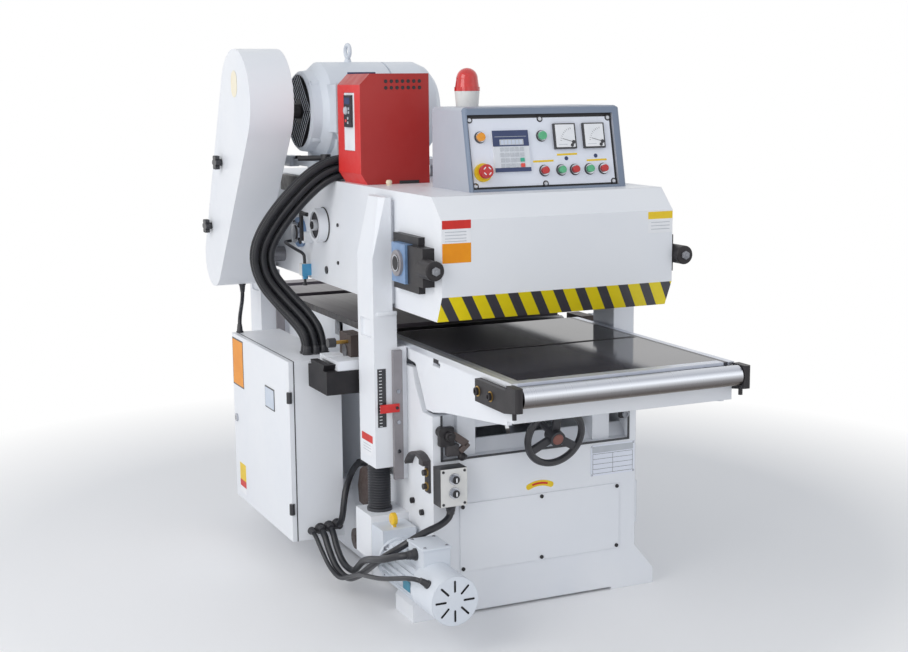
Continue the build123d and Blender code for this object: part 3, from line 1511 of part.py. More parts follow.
# Black take-up frames on both sides, with spring boxes and tension cylinders
with BuildPart() as takeup_frames:
    for side in (-1, 1):
        x0 = side * head_out_x
        block(x0, side * (head_out_x + takeup_frame_t), takeup_y0, takeup_y1, takeup_z0, takeup_z1)
        block(
            side * (head_out_x - 1), side * (head_out_x + takeup_frame_t + 1),
            front_drum_y - takeup_block_y - slide_fit,
            front_drum_y + takeup_block_y + takeup_travel + slide_fit,
            track_z - takeup_block_z - slide_fit, track_z + takeup_block_z + slide_fit, Mode.SUBTRACT,
        )
        block(x0, side * spring_box_out, spring_box_y0, takeup_y0, spring_box_z0, spring_box_z1)
        block(
            side * (head_out_x + takeup_frame_t), side * spring_box_out, takeup_y0,
            front_drum_y - takeup_block_y - 1,
            spring_box_z0, spring_box_z1,
        )
        spring_x = side * (head_out_x + spring_r + 2)
        rod_y(spring_x, spring_front_y + spring_tip_l, spring_box_y0, track_z, spring_r)
    cap_y = spring_front_y + spring_tip_l
    cap_edges = takeup_frames.edges().filter_by(GeomType.CIRCLE).filter_by_position(Axis.Y, cap_y - 1, cap_y + 1)
    fillet(cap_edges, spring_round)
    for side in (-1, 1):
        spring_x = side * (head_out_x + spring_r + 2)
        rod_y(spring_x, spring_front_y, cap_y, track_z, spring_tip_r)

takeup_frames.part.label = "takeup_frames"
export_step(takeup_frames.part, "parts/takeup_frames.step")

# Blue take-up bearings that slide in the frames
with BuildPart() as takeup_bearings:
    for side in (-1, 1):
        block(
            side * (head_out_x + slide_fit), side * takeup_block_out, front_drum_y - takeup_block_y,
            front_drum_y + takeup_block_y, track_z - takeup_block_z, track_z + takeup_block_z,
        )
        rod_x(side * takeup_block_out, side * takeup_ring_out, front_drum_y, track_z, takeup_ring_r)
        bore_r = drum_shaft_r + run_fit
        rod_x(
            side * head_out_x, side * (takeup_ring_out + cut_over), front_drum_y, track_z, bore_r,
            Mode.SUBTRACT,
        )

takeup_bearings.part.label = "takeup_bearings"
export_step(takeup_bearings.part, "parts/takeup_bearings.step")

# Flange bearings of the rear drum; slotted pressure disc, boss and ratchet arm on the left side plate
with BuildPart() as side_bearings:
    for side in (-1, 1):
        flange_out_x = head_out_x + flange_t
        rod_x(side * head_out_x, side * (head_out_x + flange_base_t), rear_drum_y, track_z, flange_r)
        rod_x(side * (head_out_x + flange_base_t), side * flange_out_x, rear_drum_y, track_z, flange_ring_r)
        rod_x(
            side * (head_out_x - cut_over), side * (flange_out_x + cut_over), rear_drum_y, track_z,
            drum_shaft_r + run_fit, Mode.SUBTRACT,
        )

    disc_x = -head_out_x - disc_t
    rod_x(-head_out_x, disc_x, disc_y, disc_z, disc_r)
    rod_x(disc_x + disc_deep, disc_x - cut_over, disc_y, disc_z, disc_r - disc_rim, Mode.SUBTRACT)
    rod_x(disc_x + disc_deep, disc_x - disc_hub_proud, disc_y, disc_z, disc_hub_r)
    boss_x = -head_out_x - boss_l
    rod_x(-head_out_x, boss_x, boss_y, boss_z, boss_r)
    block(
        boss_x - ratchet_t, boss_x, boss_y - ratchet_half_w, boss_y + ratchet_half_w, boss_z - ratchet_half_w,
        boss_z + ratchet_up,
    )
    grip_y = boss_y - ratchet_half_w
    rod_y(boss_x - ratchet_t / 2, grip_y, grip_y - ratchet_grip_l, boss_z + ratchet_grip_z, ratchet_grip_r)

side_bearings.part.label = "side_bearings"
export_step(side_bearings.part, "parts/side_bearings.step")

# Limit switch and its plunger
with BuildPart() as limit_switch:
    nose_top_z = limit_z0 + limit_nose_h
    block(
        -head_out_x, limit_x - limit_w / 2, limit_y - limit_w / 2, limit_y + limit_w / 2, nose_top_z,
        limit_z1,
    )
    rod_z(limit_x, limit_y, limit_z0, nose_top_z, limit_nose_r)
    rod_z(limit_x, limit_y, limit_z0 - cut_over, limit_z0 + limit_bore_l, plunger_r + run_fit, Mode.SUBTRACT)

limit_switch.part.label = "limit_switch"
export_step(limit_switch.part, "parts/limit_switch.step")

with BuildPart() as switch_plunger:
    rod_z(limit_x, limit_y, limit_tip_z + plunger_tip_h, limit_z0 + plunger_in, plunger_r)
    rod_z(limit_x, limit_y, limit_tip_z, limit_tip_z + plunger_tip_h, plunger_tip_r)

switch_plunger.part.label = "switch_plunger"
export_step(switch_plunger.part, "parts/switch_plunger.step")

# Upper cutterhead with its knife slots, shaft and pulley
with BuildPart() as upper_cutterhead:
    rod_x(-upper_half_l, upper_half_l, upper_y, upper_z, upper_r)
    for turn in range(4):
        slot = Plane(
            (0, upper_y, upper_z), x_dir=(1, 0, 0), z_dir=(0, cos(turn * pi / 2), sin(turn * pi / 2)),
        )
        with Locations(slot.offset(upper_r - knife_slot_deep)):
            Box(
                2 * upper_half_l + 2 * cut_over, knife_slot_w, 2 * knife_slot_deep,
                align=(Align.CENTER, Align.CENTER, Align.MIN), mode=Mode.SUBTRACT,
            )
    rod_x(pulley_x0 - pulley_nut, head_out_x + 10, upper_y, upper_z, upper_shaft_r)
    rod_x(pulley_x0, pulley_x0 + pulley_w, upper_y, upper_z, upper_pulley_r)

upper_cutterhead.part.label = "upper_cutterhead"
export_step(upper_cutterhead.part, "parts/upper_cutterhead.step")

# Roller behind the upper cutter
with BuildPart() as outfeed_roller:
    rod_x(-outfeed_half_l, outfeed_half_l, outfeed_y, outfeed_z, outfeed_r)
    rod_x(-head_out_x + 2, head_out_x - 2, outfeed_y, outfeed_z, outfeed_pin_r)

outfeed_roller.part.label = "outfeed_roller"
export_step(outfeed_roller.part, "parts/outfeed_roller.step")

# Plate under the upper motor on four posts
with BuildPart() as motor_plate:
    plate_y0 = motor_y - motor_plate_half_y
    plate_y1 = motor_y + motor_plate_half_y
    block(motor_plate_x0, motor_plate_x1, plate_y0, plate_y1, motor_plate_z0, motor_plate_z1)
    for x in (motor_post_x, motor_plate_x1 - motor_post_in):
        for y in (plate_y0 + motor_post_in, plate_y1 - motor_post_in):
            rod_z(x, y, head_top_z, motor_plate_z0, motor_post_r)
    stud_y, stud_z = guard_knobs[0]
    block(
        motor_plate_x0 - stud_arm_out, motor_plate_x0 + stud_arm_in, plate_y1 - stud_arm_back,
        stud_y + stud_arm_in,
        stud_z - stud_arm_half_z, stud_z + stud_arm_half_z,
    )
    pin_hole_r = clamp_pin_r + run_fit
    rod_z(clamp_x, clamp_y, motor_plate_z0 - cut_over, motor_plate_z1 + cut_over, pin_hole_r, Mode.SUBTRACT)

motor_plate.part.label = "motor_plate"
export_step(motor_plate.part, "parts/motor_plate.step")

# Lever that clamps the motor plate
with BuildPart() as clamp_lever:
    rod_z(clamp_x, clamp_y, motor_plate_z0 - clamp_pin_r, motor_plate_z1 + 4, clamp_pin_r)
    rod_z(clamp_x, clamp_y, motor_plate_z1 + loose_fit, motor_plate_z1 + clamp_hub_h, clamp_hub_r)
    clamp_reach = (-cos(radians(clamp_lean)), sin(radians(clamp_lean)), 0)
    rod_along((clamp_x, clamp_y, motor_plate_z1 + clamp_arm_z), clamp_reach, clamp_arm_l, clamp_arm_r)

clamp_lever.part.label = "clamp_lever"
export_step(clamp_lever.part, "parts/clamp_lever.step")

# Upper motor with fins, end shield, fan cover, feet and lifting eye
with BuildPart() as upper_motor:
    bell_x = motor_x0 + motor_bell_l
    foot_x0 = motor_x0 + motor_shoulder_l
    seam_half = motor_seam_w / 2
    with BuildSketch(Plane((0, motor_y, motor_z), x_dir=(1, 0, 0), z_dir=(0, 1, 0))):
        with BuildLine():
            Polyline(
                (motor_x0, 0), (motor_x0, motor_bell_r - motor_corner),
                (motor_x0 + motor_corner, motor_bell_r),
                (bell_x, motor_bell_r + 4), (foot_x0, motor_r), (motor_seam_x - seam_half, motor_r),
                (motor_seam_x - seam_half, motor_r - motor_seam_deep),
                (motor_seam_x + seam_half, motor_r - motor_seam_deep), (motor_seam_x + seam_half, motor_r),
                *((motor_x1 - back, motor_r - drop) for back, drop in motor_tail), (motor_x1, 0), close=True,
            )
        make_face()
    revolve(axis=Axis((0, motor_y, motor_z), (1, 0, 0)))
    grille_x = motor_x0 + motor_grille_deep
    rod_x(motor_x0 - cut_over, grille_x, motor_y, motor_z, motor_grille_r, Mode.SUBTRACT)
    rod_x(motor_x0 + 1, grille_x, motor_y, motor_z, motor_grille_hub_r)
    lean_y = cos(radians(motor_grille_lean))
    lean_z = sin(radians(motor_grille_lean))
    for bar in range(-6, 7):
        bar_y = bar * motor_grille_pitch
        if abs(bar_y) < motor_grille_r:
            bar_l = (motor_grille_r**2 - (bar_y * lean_z) ** 2) ** 0.5 - bar_y * lean_y
            for half in (-1, 1):
                bar_start = (motor_x0 + motor_grille_deep / 2, motor_y + bar_y, motor_z)
                rod_along(bar_start, (0, lean_y, half * lean_z), bar_l, motor_grille_bar_r)
    rod_x(
        motor_x0 - cut_over, motor_x0 + motor_shaft_in, motor_y, motor_z, motor_shaft_r + run_fit,
        Mode.SUBTRACT,
    )
    for side in (-1, 1):
        block(
            foot_x0 + motor_foot_end, motor_seam_x, motor_y + side * motor_foot_in,
            motor_y + side * motor_foot_out, motor_plate_z1, motor_plate_z1 + motor_foot_rise,
        )
    block(
        motor_box_x0, motor_box_x1, motor_box_y0 + motor_box_lid, motor_box_y1, motor_box_low_z,
        motor_box_top_z,
    )
    block(
        motor_box_x0 - 4, motor_box_x1 + 4, motor_box_y0, motor_box_y0 + motor_box_lid, motor_box_low_z - 4,
        motor_box_top_z + 4,
    )
    eye_mid_z = motor_z + motor_r + motor_eye_up
    with BuildSketch(Plane.XY.offset(motor_z + motor_r - motor_seam_deep)) as eye_foot:
        with Locations((motor_eye_x, motor_y)):
            Circle(motor_eye_boss_r)
    with BuildSketch(Plane.XY.offset(eye_mid_z - motor_eye_r)) as eye_neck:
        with Locations((motor_eye_x, motor_y)):
            Circle(motor_eye_bar_r + 2)
    loft([eye_foot.sketch.face(), eye_neck.sketch.face()])
    with Locations(Plane((motor_eye_x, motor_y, eye_mid_z), z_dir=(1, 0, 0))):
        Torus(motor_eye_r, motor_eye_bar_r)

upper_motor.part.label = "upper_motor"
export_step(upper_motor.part, "parts/upper_motor.step")

# Shaft and pulley of the upper motor
with BuildPart() as motor_pulley:
    rod_x(pulley_x0 - pulley_nut, motor_x0 + motor_shaft_in - 2, motor_y, motor_z, motor_shaft_r)
    rod_x(pulley_x0, pulley_x0 + pulley_w, motor_y, motor_z, motor_pulley_r)

motor_pulley.part.label = "motor_pulley"
export_step(motor_pulley.part, "parts/motor_pulley.step")

# Belt between upper motor and upper cutterhead
upper_circles = ((motor_y, motor_z, motor_pulley_r), (upper_y, upper_z, upper_pulley_r))
with BuildPart() as drive_belt:
    belt_x0 = pulley_x0 + belt_margin
    belt_x1 = pulley_x0 + pulley_w - belt_margin
    two_circle_hull(belt_x0, belt_x1, *upper_circles, grow=loose_fit + belt_thick)
    two_circle_hull(belt_x0 - 1, belt_x1 + 1, *upper_circles, grow=loose_fit, mode=Mode.SUBTRACT)

drive_belt.part.label = "drive_belt"
export_step(drive_belt.part, "parts/drive_belt.step")

# Belt guard shell held by two studs with knobs
guard_top = (guard_top_y, guard_top_z, guard_top_r)
guard_low = (guard_low_y, guard_low_z, guard_low_r)
with BuildPart() as belt_guard:
    two_circle_hull(guard_out_x, guard_in_x, guard_top, guard_low)
    shell_x = guard_out_x + guard_sheet
    two_circle_hull(
        shell_x, guard_in_x + cut_over, guard_top, guard_low, grow=-guard_sheet, mode=Mode.SUBTRACT,
    )
    for y, z in guard_knobs:
        rod_x(guard_out_x - cut_over, shell_x + cut_over, y, z, guard_pin_r + run_fit, Mode.SUBTRACT)

    for (y, z), root_x in zip(guard_knobs, (motor_plate_x0 - stud_arm_out, -head_out_x)):
        rod_x(shell_x, root_x, y, z, guard_stud_r)
        rod_x(guard_out_x - 1, shell_x, y, z, guard_pin_r)
        rod_x(guard_out_x - guard_neck_l, guard_out_x, y, z, guard_neck_r)
        knob_x = guard_out_x - guard_knob_l
        rod_x(knob_x, guard_out_x - guard_neck_l, y, z, guard_knob_r - guard_lobe_r)
        for lobe in range(guard_lobes):
            turn = 2 * pi * lobe / guard_lobes
            lobe_y = y + (guard_knob_r - guard_lobe_r) * cos(turn)
            lobe_z = z + (guard_knob_r - guard_lobe_r) * sin(turn)
            rod_x(knob_x, guard_out_x - guard_neck_l, lobe_y, lobe_z, guard_lobe_r)

belt_guard.part.label = "belt_guard"
export_step(belt_guard.part, "parts/belt_guard.step")

# Red inverter box with keypad, vents and the gland block behind it
with BuildPart() as inverter_box:
    end_shape(
        (
            (inverter_x0, head_top_z + inverter_top_cut),
            (inverter_x0, inverter_top_z - inverter_top_cut),
            (inverter_x0 + inverter_top_cut, inverter_top_z),
            (inverter_x1, inverter_top_z),
            (inverter_x1, head_top_z),
            (inverter_x0 + inverter_low_cut, head_top_z),
        ),
        inverter_y0,
        inverter_y1,
    )
    for row in range(2):
        for hole in range(7):
            x = vent_x + hole * vent_pitch_x
            z = vent_z - row * vent_pitch_z
            block(
                x, x + vent_w, inverter_y0 - cut_over, inverter_y0 + vent_deep, z - vent_h / 2,
                z + vent_h / 2,
                Mode.SUBTRACT,
            )
    bay_y = (inverter_y0 + inverter_y1) / 2 - 4
    bay_x = inverter_x0 + bay_deep
    block(
        inverter_x0 - cut_over, bay_x, bay_y - bay_half_y, bay_y + bay_half_y, bay_low_z, bay_top_z,
        Mode.SUBTRACT,
    )
    block(gland_x0, gland_x1, inverter_y1, gland_y1, head_top_z, gland_top_z)
    window_x = inverter_x0 + 1
    block(window_x, bay_x, bay_y - bay_half_y + 1, bay_y + bay_half_y - 1, bay_low_z + 1, bay_top_z - 1)
    keypad_x = inverter_x0 - keypad_proud
    block(keypad_x, window_x, bay_y - keypad_half_y, bay_y + keypad_half_y, keypad_low_z, keypad_top_z)

inverter_box.part.label = "inverter_box"
export_step(inverter_box.part, "parts/inverter_box.step")

# Sloping panel housing with a recessed front
with BuildPart() as panel_housing:
    side_shape(
        (
            (panel_low_y, head_top_z),
            (panel_high_y, panel_high_z),
            (panel_high_y + panel_brow, panel_roof_z),
            (panel_back_y, panel_roof_z),
            (panel_back_y, head_top_z),
        ),
        panel_mid_x - panel_half_w,
        panel_mid_x + panel_half_w + panel_right_more,
    )
    side_faces = panel_housing.faces().filter_by(Axis.X)
    rim_edges = side_faces.edges().filter_by(
        lambda e: e.center().Z > head_top_z + 1 and e.center().Y < panel_back_y - 1
    )
    fillet(rim_edges, panel_corner_r)
    plate_mid_v = (panel_plate_low_v + panel_plate_high_v) / 2
    plate_h = panel_plate_high_v - panel_plate_low_v
    seat_mid_u = panel_plate_mid_u + (panel_gap_right - panel_gap_left) / 2
    seat_mid_v = plate_mid_v + (panel_gap_high - panel_gap_low) / 2
    seat_w = 2 * panel_plate_half_w + panel_gap_left + panel_gap_right
    seat_h = plate_h + panel_gap_low + panel_gap_high
    panel_block(seat_mid_u, seat_mid_v, seat_w, seat_h, -panel_sheet, panel_recess, Mode.SUBTRACT)
    panel_block(
        panel_plate_mid_u, plate_mid_v, 2 * (panel_plate_half_w - panel_cavity_edge),
        plate_h - 2 * panel_cavity_edge,
        -panel_cavity_deep, 0, Mode.SUBTRACT,
    )

panel_housing.part.label = "panel_housing"
export_step(panel_housing.part, "parts/panel_housing.step")

# Panel plate with bezels, lamps and stop collar
with BuildPart() as panel_plate:
    panel_block(panel_plate_mid_u, plate_mid_v, 2 * panel_plate_half_w, plate_h, -panel_sheet, 0)
    for u in buttons_u:
        panel_rod(u, button_v, 0, bezel_h, bezel_r)
        panel_rod(
            u, button_v, -panel_sheet - cut_over, bezel_h + cut_over, button_r + slide_fit, Mode.SUBTRACT,
        )
    for u in (lamp_amber_u, lamp_green_u):
        panel_rod(u, lamp_v, 0, bezel_h, bezel_r)
        panel_rod(u, lamp_v, bezel_h, bezel_h + lamp_h, lamp_r)
    panel_rod(stop_u, stop_v, 0, stop_collar_h, stop_collar_r)
    hole_start = -panel_sheet - cut_over
    panel_rod(stop_u, stop_v, hole_start, stop_collar_h + cut_over, button_r + slide_fit, Mode.SUBTRACT)

panel_plate.part.label = "panel_plate"
export_step(panel_plate.part, "parts/panel_plate.step")

# Two dial meters and the keypad unit
with BuildPart() as panel_meters:
    for u in meter_u:
        panel_block(u, meter_v, meter_w, meter_h, 0, meter_proud)
        face_w = meter_w - 2 * meter_frame
        face_v = meter_v + meter_face_up
        face_start = meter_proud - meter_face_deep
        panel_block(u, face_v, face_w, meter_face_h, face_start, meter_proud + cut_over, Mode.SUBTRACT)
        panel_rod(
            u + meter_w / 2 - 16, meter_v - meter_h / 2 + 10, meter_proud, meter_proud + 2, meter_stud_r,
        )
    panel_block(keyunit_u, keyunit_v, keyunit_w, keyunit_h, 0, keyunit_proud)
    panel_block(
        keyunit_u, keyunit_v + display_up, keyunit_w - 2 * display_side, display_h,
        keyunit_proud - meter_face_deep,
        keyunit_proud + cut_over, Mode.SUBTRACT,
    )
    for row in range(4):
        for col in range(5):
            key_u = keyunit_u + (col - 2) * key_pitch_u
            key_v = keyunit_v + 6 - row * key_pitch_v
            panel_block(key_u, key_v, key_w, key_h, keyunit_proud, keyunit_proud + key_proud)

panel_meters.part.label = "panel_meters"
export_step(panel_meters.part, "parts/panel_meters.step")

# Push buttons of the panel, one piece each
with BuildPart() as button_1:
    panel_rod(buttons_u[0], button_v, -button_root, button_proud, button_r)

button_1.part.label = "button_1"
export_step(button_1.part, "parts/button_1.step")

with BuildPart() as button_2:
    panel_rod(buttons_u[1], button_v, -button_root, button_proud, button_r)

button_2.part.label = "button_2"
export_step(button_2.part, "parts/button_2.step")

with BuildPart() as button_3:
    panel_rod(buttons_u[2], button_v, -button_root, button_proud, button_r)

button_3.part.label = "button_3"
export_step(button_3.part, "parts/button_3.step")

with BuildPart() as button_4:
    panel_rod(buttons_u[3], button_v, -button_root, button_proud, button_r)

button_4.part.label = "button_4"
export_step(button_4.part, "parts/button_4.step")

with BuildPart() as button_5:
    panel_rod(buttons_u[4], button_v, -button_root, button_proud, button_r)

button_5.part.label = "button_5"
export_step(button_5.part, "parts/button_5.step")

# Emergency stop mushroom
with BuildPart() as stop_button:
    panel_rod(stop_u, stop_v, -button_root, stop_neck, button_r)
    panel_rod(stop_u, stop_v, stop_neck, stop_proud, stop_r)

stop_button.part.label = "stop_button"
export_step(stop_button.part, "parts/stop_button.step")

# Beacon on the panel housing
with BuildPart() as beacon:
    crown_top = beacon_crown_h + beacon_crown_r
    crown_mid = (beacon_crown_r * cos(pi / 4), beacon_crown_h + beacon_crown_r * sin(pi / 4))
    with BuildSketch(Plane((beacon_x, beacon_y, beacon_base_z), x_dir=(1, 0, 0), z_dir=(0, -1, 0))):
        with BuildLine():
            Polyline(
                (0, crown_top), (0, -beacon_base_h), (beacon_foot_r, -beacon_base_h), (beacon_r, 0),
                (beacon_ring_r, 0), (beacon_ring_r, beacon_ring_h), (beacon_dome_r, beacon_ring_h),
                (beacon_crown_r, beacon_crown_h),
            )
            ThreePointArc((beacon_crown_r, beacon_crown_h), crown_mid, (0, crown_top))
        make_face()
    revolve(axis=Axis((beacon_x, beacon_y, beacon_base_z), (0, 0, 1)))

beacon.part.label = "beacon"
export_step(beacon.part, "parts/beacon.step")

# Cord routes: straight runs joined by tangent arcs
def turn_radii(points):
    radii = []
    for before, here, after in zip(points, points[1:], points[2:]):
        arrive = Vector(here) - Vector(before)
        leave = Vector(after) - Vector(here)
        half = radians(arrive.get_angle(leave)) / 2
        radii.append(0.45 * min(arrive.length, leave.length) / tan(half))
    return radii


def cord(builder, name, points, r):
    radii = turn_radii(points)
    with BuildLine(mode=Mode.PRIVATE) as route:
        FilletPolyline(*points, radius=radii)
    start = Plane(points[0], z_dir=Vector(points[1]) - Vector(points[0]))
    with BuildSketch(start) as section:
        Circle(r)
    volume_before = builder.part.volume if builder.part else 0
    sweep(section.sketch, path=route.wire())
    length = route.wire().length
    share = (builder.part.volume - volume_before) / (pi * r * r * length)
    print(name, "length", round(length), "least radius", round(min(radii)), "volume share", round(share, 3))


switch_mid_y = (switch_front_y + base_front_y) / 2
fan_angle = radians(35)
fan_end = (lift_motor_x - lift_motor_r * cos(fan_angle), -1010, lift_motor_z + lift_motor_r * sin(fan_angle))
fan_turn = (fan_end[0] - 30 * cos(fan_angle), -1010, fan_end[2] + 30 * sin(fan_angle))
switch_route = (
    (-524, cabinet_y0, 164), (-524, -274, 164), (-524, -318, 116), (-517, -366, 68), (-503, -430, 48),
    (-496, -520, 88), (-501, -620, 145), (-508, -725, 203), (-466, -792, 256), (-402, -803, 291),
    (-345, -796, 304), (-311, -783, 318), (selector_x, switch_mid_y, 337),
    (selector_x, switch_mid_y, switch_z0),
)
terminal_route = (
    (-494, cabinet_y0, 168), (-494, -274, 168), (-498, -318, 122), (-493, -366, 78), (-484, -430, 70),
    (-497, -510, 113), (-514, -600, 163), (-531, -700, 200), (-525, -790, 224), (-508, -845, 247),
    (-491, -875, 256), (terminal_x0, -875, 256),
)
fan_route = (
    (-553, cabinet_y0, 160), (-553, -270, 160), (-548, -310, 122), (-538, -356, 74), (-527, -420, 50),
    (-521, -500, 82), (-526, -600, 122), (-533, -700, 146), (-533, -800, 170), (-523, -890, 198),
    (-517, -960, 220),
    fan_turn, fan_end,
)
wall_route = (
    (-466, cabinet_y0, 172), (-466, -262, 172), (-463, -284, 204), (-459, -288, 246), (-450, -280, 288),
    (-428, -256, 322), (-398, -222, 346), (-372, -200, 356), (-base_half_w, -200, 356),
)
with BuildPart() as base_cables:
    cord(base_cables, "cable to switch box", switch_route, cable_r)
    cord(base_cables, "cable to terminal box", terminal_route, cable_r)
    cord(base_cables, "cable to fan end", fan_route, thin_cable_r)
    cord(base_cables, "cable into base", wall_route, cable_r)

base_cables.part.label = "base_cables"
export_step(base_cables.part, "parts/base_cables.step")

bundle_route = (
    (gland_x0, -43, 1312), (-348, -43, 1312), (-404, -34, 1289), (-462, -12, 1236), (-528, 16, 1158),
    (-578, 44, 1084), (-596, 52, 1018), (-583, 42, 950), (-548, 8, 886), (-513, -50, 818), (-499, -96, 770),
    (-499, -96, cabinet_z1),
)
guard_route = (
    (-537, guard_low_y, guard_low_z - guard_low_r), (-537, guard_low_y, 848), (-542, 503, 818),
    (-563, 451, 794),
    (-585, 396, 770), (-590, 383, 741), (-590, 383, cabinet_z1),
)
with BuildPart() as conduit_bundle:
    last = len(bundle_route) - 1
    for row in (-1, 1):
        for lane in (-1, 0, 1):
            points = []
            for i, (x, y, z) in enumerate(bundle_route):
                back = bundle_route[max(i - 1, 0)]
                ahead = bundle_route[min(i + 1, last)]
                along = (Vector(ahead) - Vector(back)).normalized()
                across = Vector(along.Z, 0, -along.X).normalized()
                beside = across.cross(along)
                shift = across * (row * conduit_pitch / 2) + beside * (lane * conduit_pitch)
                points.append((x + shift.X, y + shift.Y, z + shift.Z))
            points[0] = (gland_x0, points[1][1], points[1][2])
            points[last] = (points[last - 1][0], points[last - 1][1], cabinet_z1)
            cord(conduit_bundle, "conduit", points, conduit_r)
    cord(conduit_bundle, "guard cable", guard_route, guard_cable_r)

conduit_bundle.part.label = "conduit_bundle"
export_step(conduit_bundle.part, "parts/conduit_bundle.step")

switch_cable_route = (
    (-head_out_x, 420, 1046), (-398, 420, 1046), (-412, 385, 1044), (-414, 330, 1030), (-408, 276, 1012),
    (limit_x, 236, 1002), (limit_x, limit_y, limit_z1 + 14), (limit_x, limit_y, limit_z1),
)
with BuildPart() as switch_cable:
    cord(switch_cable, "limit switch cable", switch_cable_route, switch_cable_r)

switch_cable.part.label = "switch_cable"
export_step(switch_cable.part, "parts/switch_cable.step")
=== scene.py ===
import bpy
import math
from mathutils import Matrix, Vector


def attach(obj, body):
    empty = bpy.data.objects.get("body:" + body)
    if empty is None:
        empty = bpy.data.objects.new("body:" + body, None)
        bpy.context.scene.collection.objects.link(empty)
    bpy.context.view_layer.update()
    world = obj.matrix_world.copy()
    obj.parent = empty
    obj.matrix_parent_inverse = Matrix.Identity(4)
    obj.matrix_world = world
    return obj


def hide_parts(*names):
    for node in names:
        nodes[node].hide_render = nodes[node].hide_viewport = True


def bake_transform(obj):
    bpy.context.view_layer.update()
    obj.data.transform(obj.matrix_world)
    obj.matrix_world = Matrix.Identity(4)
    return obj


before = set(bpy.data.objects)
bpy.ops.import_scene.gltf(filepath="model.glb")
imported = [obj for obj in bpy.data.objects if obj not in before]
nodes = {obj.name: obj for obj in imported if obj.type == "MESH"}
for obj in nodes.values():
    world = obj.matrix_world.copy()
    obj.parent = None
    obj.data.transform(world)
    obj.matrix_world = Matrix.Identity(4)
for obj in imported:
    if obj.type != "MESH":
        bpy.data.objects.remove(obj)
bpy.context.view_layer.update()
scene = bpy.context.scene
finishes = {}
print("frame loaded,", len(nodes), "nodes")


# small tools

def tone(red, green, blue):  # screen colour, 0 to 255, to linear
    levels = [c / 255 for c in (red, green, blue)]
    return tuple(c / 12.92 if c < 0.04 else ((c + 0.055) / 1.055) ** 2.4 for c in levels) + (1.0,)


def clearPick():
    if bpy.context.object and bpy.context.object.mode != "OBJECT":
        bpy.ops.object.mode_set(mode="OBJECT")
    bpy.ops.object.select_all(action="DESELECT")


def pick(*pieces):
    clearPick()
    for piece in pieces:
        piece.select_set(True)
    bpy.context.view_layer.objects.active = pieces[0]


def opened(name, scale=None):  # the new primitive, named, its place fixed in its mesh, open for editing
    piece = bpy.context.object
    piece.name = name
    if scale:
        piece.scale = scale
    bpy.ops.object.transform_apply(location=True, rotation=True, scale=True)
    bpy.ops.object.mode_set(mode="EDIT")
    bpy.ops.mesh.select_all(action="SELECT")
    return piece


def sealed(piece, finish, angle=35):  # closes an open piece: faces outwards, smooth below the angle
    bpy.ops.mesh.select_all(action="SELECT")
    bpy.ops.mesh.normals_make_consistent(inside=False)
    bpy.ops.object.mode_set(mode="OBJECT")
    bpy.ops.object.shade_smooth_by_angle(angle=math.radians(angle))
    piece.data.materials.append(finishes[finish])
    return piece


# camera at the photograph's place

view = {"place": (-2.0225, -4.5884, 1.5836), "look": (0.40882, 0.89781, -0.16375), "roll": -0.5,
        "lens": 58.25, "film": 36, "farthest": 60}

lensData = bpy.data.cameras.new("photoLens")
lensData.lens = view["lens"]
lensData.sensor_width = view["film"]
lensData.clip_end = view["farthest"]
photoCamera = bpy.data.objects.new("photoCamera", lensData)
scene.collection.objects.link(photoCamera)
turn = Vector(view["look"]).to_track_quat("-Z", "Y").to_matrix().to_4x4()
roll = Matrix.Rotation(math.radians(view["roll"]), 4, "Z")
photoCamera.matrix_world = Matrix.Translation(view["place"]) @ turn @ roll
scene.camera = photoCamera
scene.view_settings.view_transform = "Standard"


# shader nodes, and the groups that the finishes share

def feed(tree, socket, value):  # a socket is linked, a plain value is typed in
    if isinstance(value, bpy.types.NodeSocket):
        tree.links.new(value, socket)
    else:
        socket.default_value = value


def addNode(tree, kind, feeds=None, **settings):
    node = tree.nodes.new(kind)
    for key, value in settings.items():
        setattr(node, key, value)
    for key, value in (feeds or {}).items():
        feed(tree, node.inputs[key], value)
    return node


def rangeNode(tree, source, low, high, toLow=0.0, toHigh=1.0):
    return addNode(tree, "ShaderNodeMapRange", {0: source, 1: low, 2: high, 3: toLow, 4: toHigh}).outputs[0]


def mixColour(tree, factor, first, second):
    return addNode(tree, "ShaderNodeMix", {0: factor, 6: first, 7: second}, data_type="RGBA").outputs[2]


def mathNode(tree, operation, first, second):
    return addNode(tree, "ShaderNodeMath", {0: first, 1: second}, operation=operation).outputs[0]


def objectPlace(tree):
    return addNode(tree, "ShaderNodeTexCoord").outputs["Object"]


def cloud(tree, place, scale, detail):
    return addNode(tree, "ShaderNodeTexNoise", {"Vector": place, "Scale": scale, "Detail": detail}).outputs[0]


def startGroup(name, inputs, outputs):
    group = bpy.data.node_groups.new(name, "ShaderNodeTree")
    for label, kind, value in inputs:
        group.interface.new_socket(name=label, in_out="INPUT", socket_type=kind).default_value = value
    for label, kind in outputs:
        group.interface.new_socket(name=label, in_out="OUTPUT", socket_type=kind)
    return group, group.nodes.new("NodeGroupInput").outputs, group.nodes.new("NodeGroupOutput").inputs


colourKind, valueKind, vectorKind = "NodeSocketColor", "NodeSocketFloat", "NodeSocketVector"
finishOut = [("Color", colourKind), ("Roughness", valueKind), ("Height", valueKind)]

# rounded edge light and a broken mask along the edges
edgeWear = {"radius": 0.0015, "samples": 4, "rim": (0.985, 0.8), "break": 90.0, "detail": 2.0, "flecks": (0.48, 0.68)}

